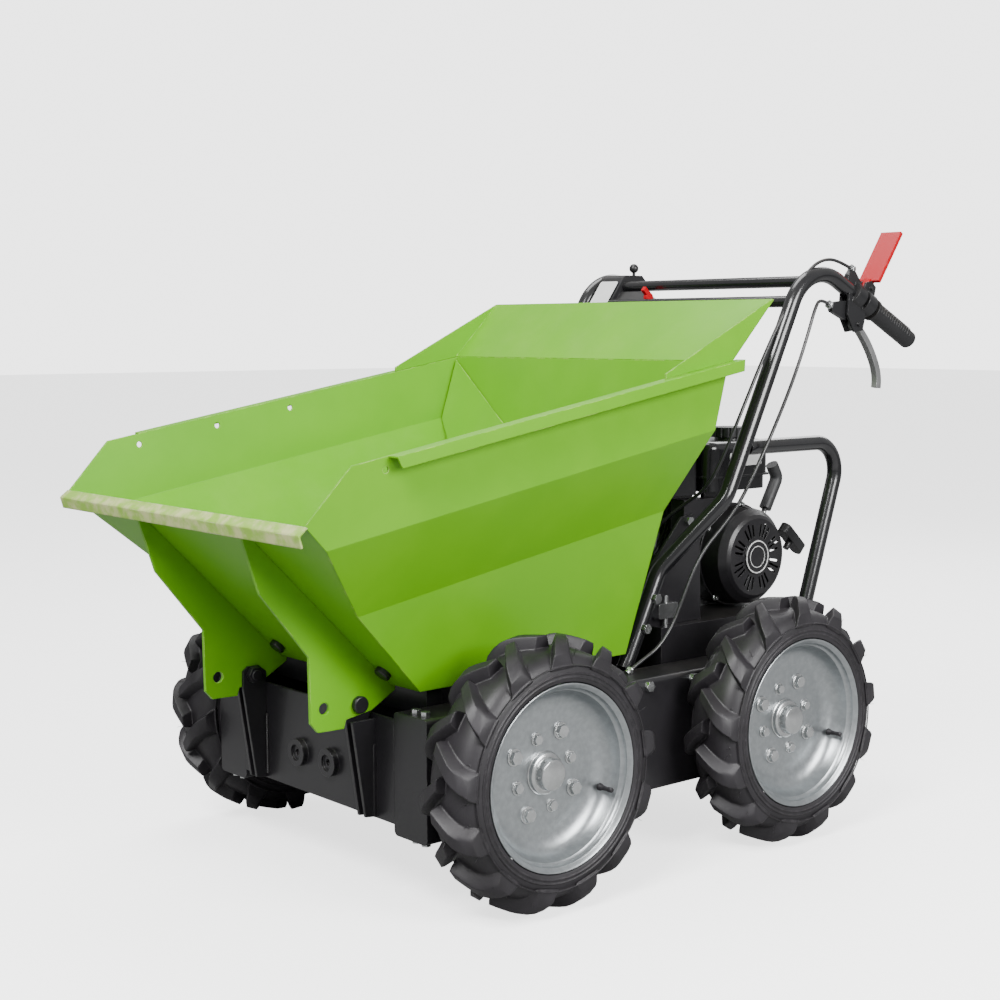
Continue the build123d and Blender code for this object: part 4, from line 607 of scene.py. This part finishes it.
def rounded_plate(bm, centre, along, up, width, height, radius, thick, steps=5):
    """A thin plate with round corners, standing on a plane and facing along the plane's normal."""
    facing = along.cross(up).normalized()
    outline = []
    for corner_x, corner_y, start in ((1, 1, 0), (-1, 1, 90), (-1, -1, 180), (1, -1, 270)):
        for step in range(steps + 1):
            angle = radians(start + 90 * step / steps)
            x = corner_x * (width / 2 - radius) + radius * cos(angle)
            y = corner_y * (height / 2 - radius) + radius * sin(angle)
            outline.append(centre + along * x + up * y)
    back = [bm.verts.new(point) for point in outline]
    front = [bm.verts.new(point + facing * thick) for point in outline]
    bm.faces.new(front)
    bm.faces.new(list(reversed(back)))
    for index in range(len(outline)):
        after = (index + 1) % len(outline)
        bm.faces.new((back[index], back[after], front[after], front[index]))


# Blank plates stand where a maker would rivet one: on the tank's side and on the control console.
pale_plate = finish_material(
    "blank_pale_plate", (0.66, 0.66, 0.65), (0.72, 0.72, 0.71), (0.8, 0.8, 0.8), (0.32, 0.42),
    grain=900.0, grain_depth=0.00002, edge=0.0006, chips=120.0, dust=0.1,
)
low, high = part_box("fuel_tank")
bm = bmesh.new()
plate_centre = Vector(((low.x + high.x) / 2 - 0.012, high.y - 0.0048, 0.622))
rounded_plate(bm, plate_centre, Vector((-1, 0, 0)), Vector((0, 0, 1)), 0.085, 0.024, 0.004, 0.0008)
new_piece("tank_plate", to_mesh(bm, "tank_plate"), pale_plate, "chassis")
console_slope = Vector((-55, 0, 75)).normalized()
bm = bmesh.new()
console_centre = Vector((-0.3712, -0.2165, 0.9195))
rounded_plate(bm, console_centre, Vector((0, 1, 0)), console_slope, 0.048, 0.07, 0.004, 0.0008)
new_piece("console_plate", to_mesh(bm, "console_plate"), pale_plate, "chassis")

# The recoil cover's hub carries a blank badge in a bright ring.
low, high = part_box("recoil_cover")
cover_centre = Vector(((low.x + high.x) / 2, high.y, (low.z + high.z) / 2))
badge_place = Matrix.Translation(cover_centre) @ Matrix.Rotation(radians(90), 4, "Z")
bm = bmesh.new()
lathe(bm, closed_section(-0.0002, 0.0285, 0.0011, 0.0013), 64, badge_place)
lathe(bm, closed_section(-0.0002, 0.019, 0.0009, 0.0008), 64, badge_place)
new_piece("recoil_badge_rings", to_mesh(bm, "recoil_badge_rings"), pale_plate, "chassis")

# Small flanged bolts hold the fan housing round its edge.
bm = bmesh.new()
cover_bolt_circle = 0.0905
housing_face_y = 0.1281
for angle in (35, 100, 170, 235, 305):
    bolt_x = cover_centre.x + cover_bolt_circle * cos(radians(angle))
    bolt_z = cover_centre.z + cover_bolt_circle * sin(radians(angle))
    hex_bolt(bm, Vector((bolt_x, housing_face_y, bolt_z)), Vector((0, 1, 0)), 0.008, 0.006)
new_piece("cover_bolts", to_mesh(bm, "cover_bolts"), bright_zinc, "chassis")

# The spark plug's rubber boot stands on the head; its lead, which runs to the coil under the housing, is not
# drawn.
head_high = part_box("cylinder_head")[1]
head_face = Vector((head_high.x - 0.012, 0.0, head_high.z - 0.045))
plug_axis = Vector((cos(radians(25)), 0, sin(radians(25))))
plug_turn = plug_axis.to_track_quat("X", "Z").to_matrix().to_4x4()
plug_place = Matrix.Translation(head_face - plug_axis * 0.004) @ plug_turn
bm = bmesh.new()
boot = [(0, 0), (0, 0.011), (0.008, 0.011), (0.010, 0.008), (0.020, 0.0085), (0.024, 0.0065), (0.024, 0)]
lathe(bm, boot, 24, plug_place)
new_piece("spark_plug_boot", to_mesh(bm, "spark_plug_boot"), grip_rubber, "chassis")

# ---------------------------------------------------------------- cables
# Two Bowden cables in smooth black sheaths run from the levers down the left tube, held at both ends.
# Each sheath is a plastic-covered steel coil, so it takes wide even bends between its fittings.
cable_sheath = finish_material(
    "cable_sheath_black", (0.016, 0.016, 0.017), (0.022, 0.022, 0.023), (0.05, 0.05, 0.05), (0.28, 0.40),
    coat=0.2, grain=1500.0, grain_depth=0.00003, edge=0.0006, chips=120.0, dust=0.12,
)
clutch_route = [
    (-0.522, 0.262, 0.964),
    (-0.490, 0.262, 0.975),
    (-0.459, 0.262, 0.978),
    (-0.430, 0.262, 0.970),
    (-0.405, 0.262, 0.953),
    (-0.375, 0.262, 0.922),
    (-0.336, 0.262, 0.872),
    (-0.291, 0.262, 0.804),
    (-0.252, 0.262, 0.738),
    (-0.226, 0.257, 0.684),
    (-0.211, 0.243, 0.630),
    (-0.206, 0.213, 0.584),
    (-0.198, 0.172, 0.556),
    (-0.180, 0.132, 0.522),
    (-0.168, 0.102, 0.474),
    (-0.162, 0.086, 0.418),
    (-0.162, 0.080, 0.366),
]
brake_route = [
    (-0.462, 0.262, 0.900),
    (-0.438, 0.264, 0.909),
    (-0.421, 0.267, 0.890),
    (-0.403, 0.269, 0.851),
    (-0.376, 0.271, 0.797),
    (-0.340, 0.277, 0.743),
    (-0.292, 0.285, 0.680),
    (-0.252, 0.284, 0.618),
    (-0.224, 0.273, 0.562),
    (-0.190, 0.263, 0.522),
    (-0.160, 0.256, 0.492),
    (-0.135, 0.251, 0.452),
    (-0.116, 0.247, 0.408),
    (-0.098, 0.243, 0.366),
    (-0.068, 0.240, 0.332),
    (-0.034, 0.238, 0.316),
    (-0.008, 0.237, 0.303),
]
for cable_name, route in (("clutch_cable", clutch_route), ("brake_cable", brake_route)):
    cable_line = bpy.data.curves.new(cable_name + "_line", "CURVE")
    cable_line.dimensions = "3D"
    cable_line.bevel_depth = 0.003
    cable_line.bevel_resolution = 4
    cable_line.resolution_u = 12
    cable_line.use_fill_caps = True
    spline = cable_line.splines.new("NURBS")
    spline.points.add(len(route) - 1)
    for point, spot in zip(spline.points, route):
        point.co = (*spot, 1)
    spline.order_u = 3
    spline.use_endpoint_u = True
    cable = bpy.data.objects.new(cable_name + "_sheath", cable_line)
    bpy.context.scene.collection.objects.link(cable)
    cable_line.materials.append(cable_sheath)
    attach(cable, "chassis")
    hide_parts(cable_name)

# ---------------------------------------------------------------- welds
# Short fillet welds tie the posts to the front plate. Each is a row of overlapping beads, laid by hand
# and painted over with the frame.
def weld_bead(bm, start, end, radius, spacing):
    """A weld's row of flattened beads from start to end."""
    run = end - start
    count = max(2, int(run.length / spacing))
    for index in range(count + 1):
        wobble = noise.noise(start * 90 + Vector((index * 0.7, 0, 0)))
        centre = start + run * (index / count)
        size = radius * (1 + 0.16 * wobble)
        bead = Matrix.Translation(centre) @ run.to_track_quat("X", "Z").to_matrix().to_4x4()
        bead = bead @ Matrix.Diagonal((0.75, 1, 1, 1))
        bmesh.ops.create_icosphere(bm, subdivisions=2, radius=size, matrix=bead)


bm = bmesh.new()
post_edge_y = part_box("pivot_posts")[1].y - 0.0045
weld_x = 0.4535
for side in (1, -1):
    for weld_y in (post_edge_y, 0.1372):
        foot = Vector((weld_x, side * weld_y, 0.136))
        head = Vector((weld_x, side * weld_y, 0.232))
        weld_bead(bm, foot, head, 0.0026, 0.003)
new_piece("post_welds", to_mesh(bm, "post_welds"), satin_black, "chassis")
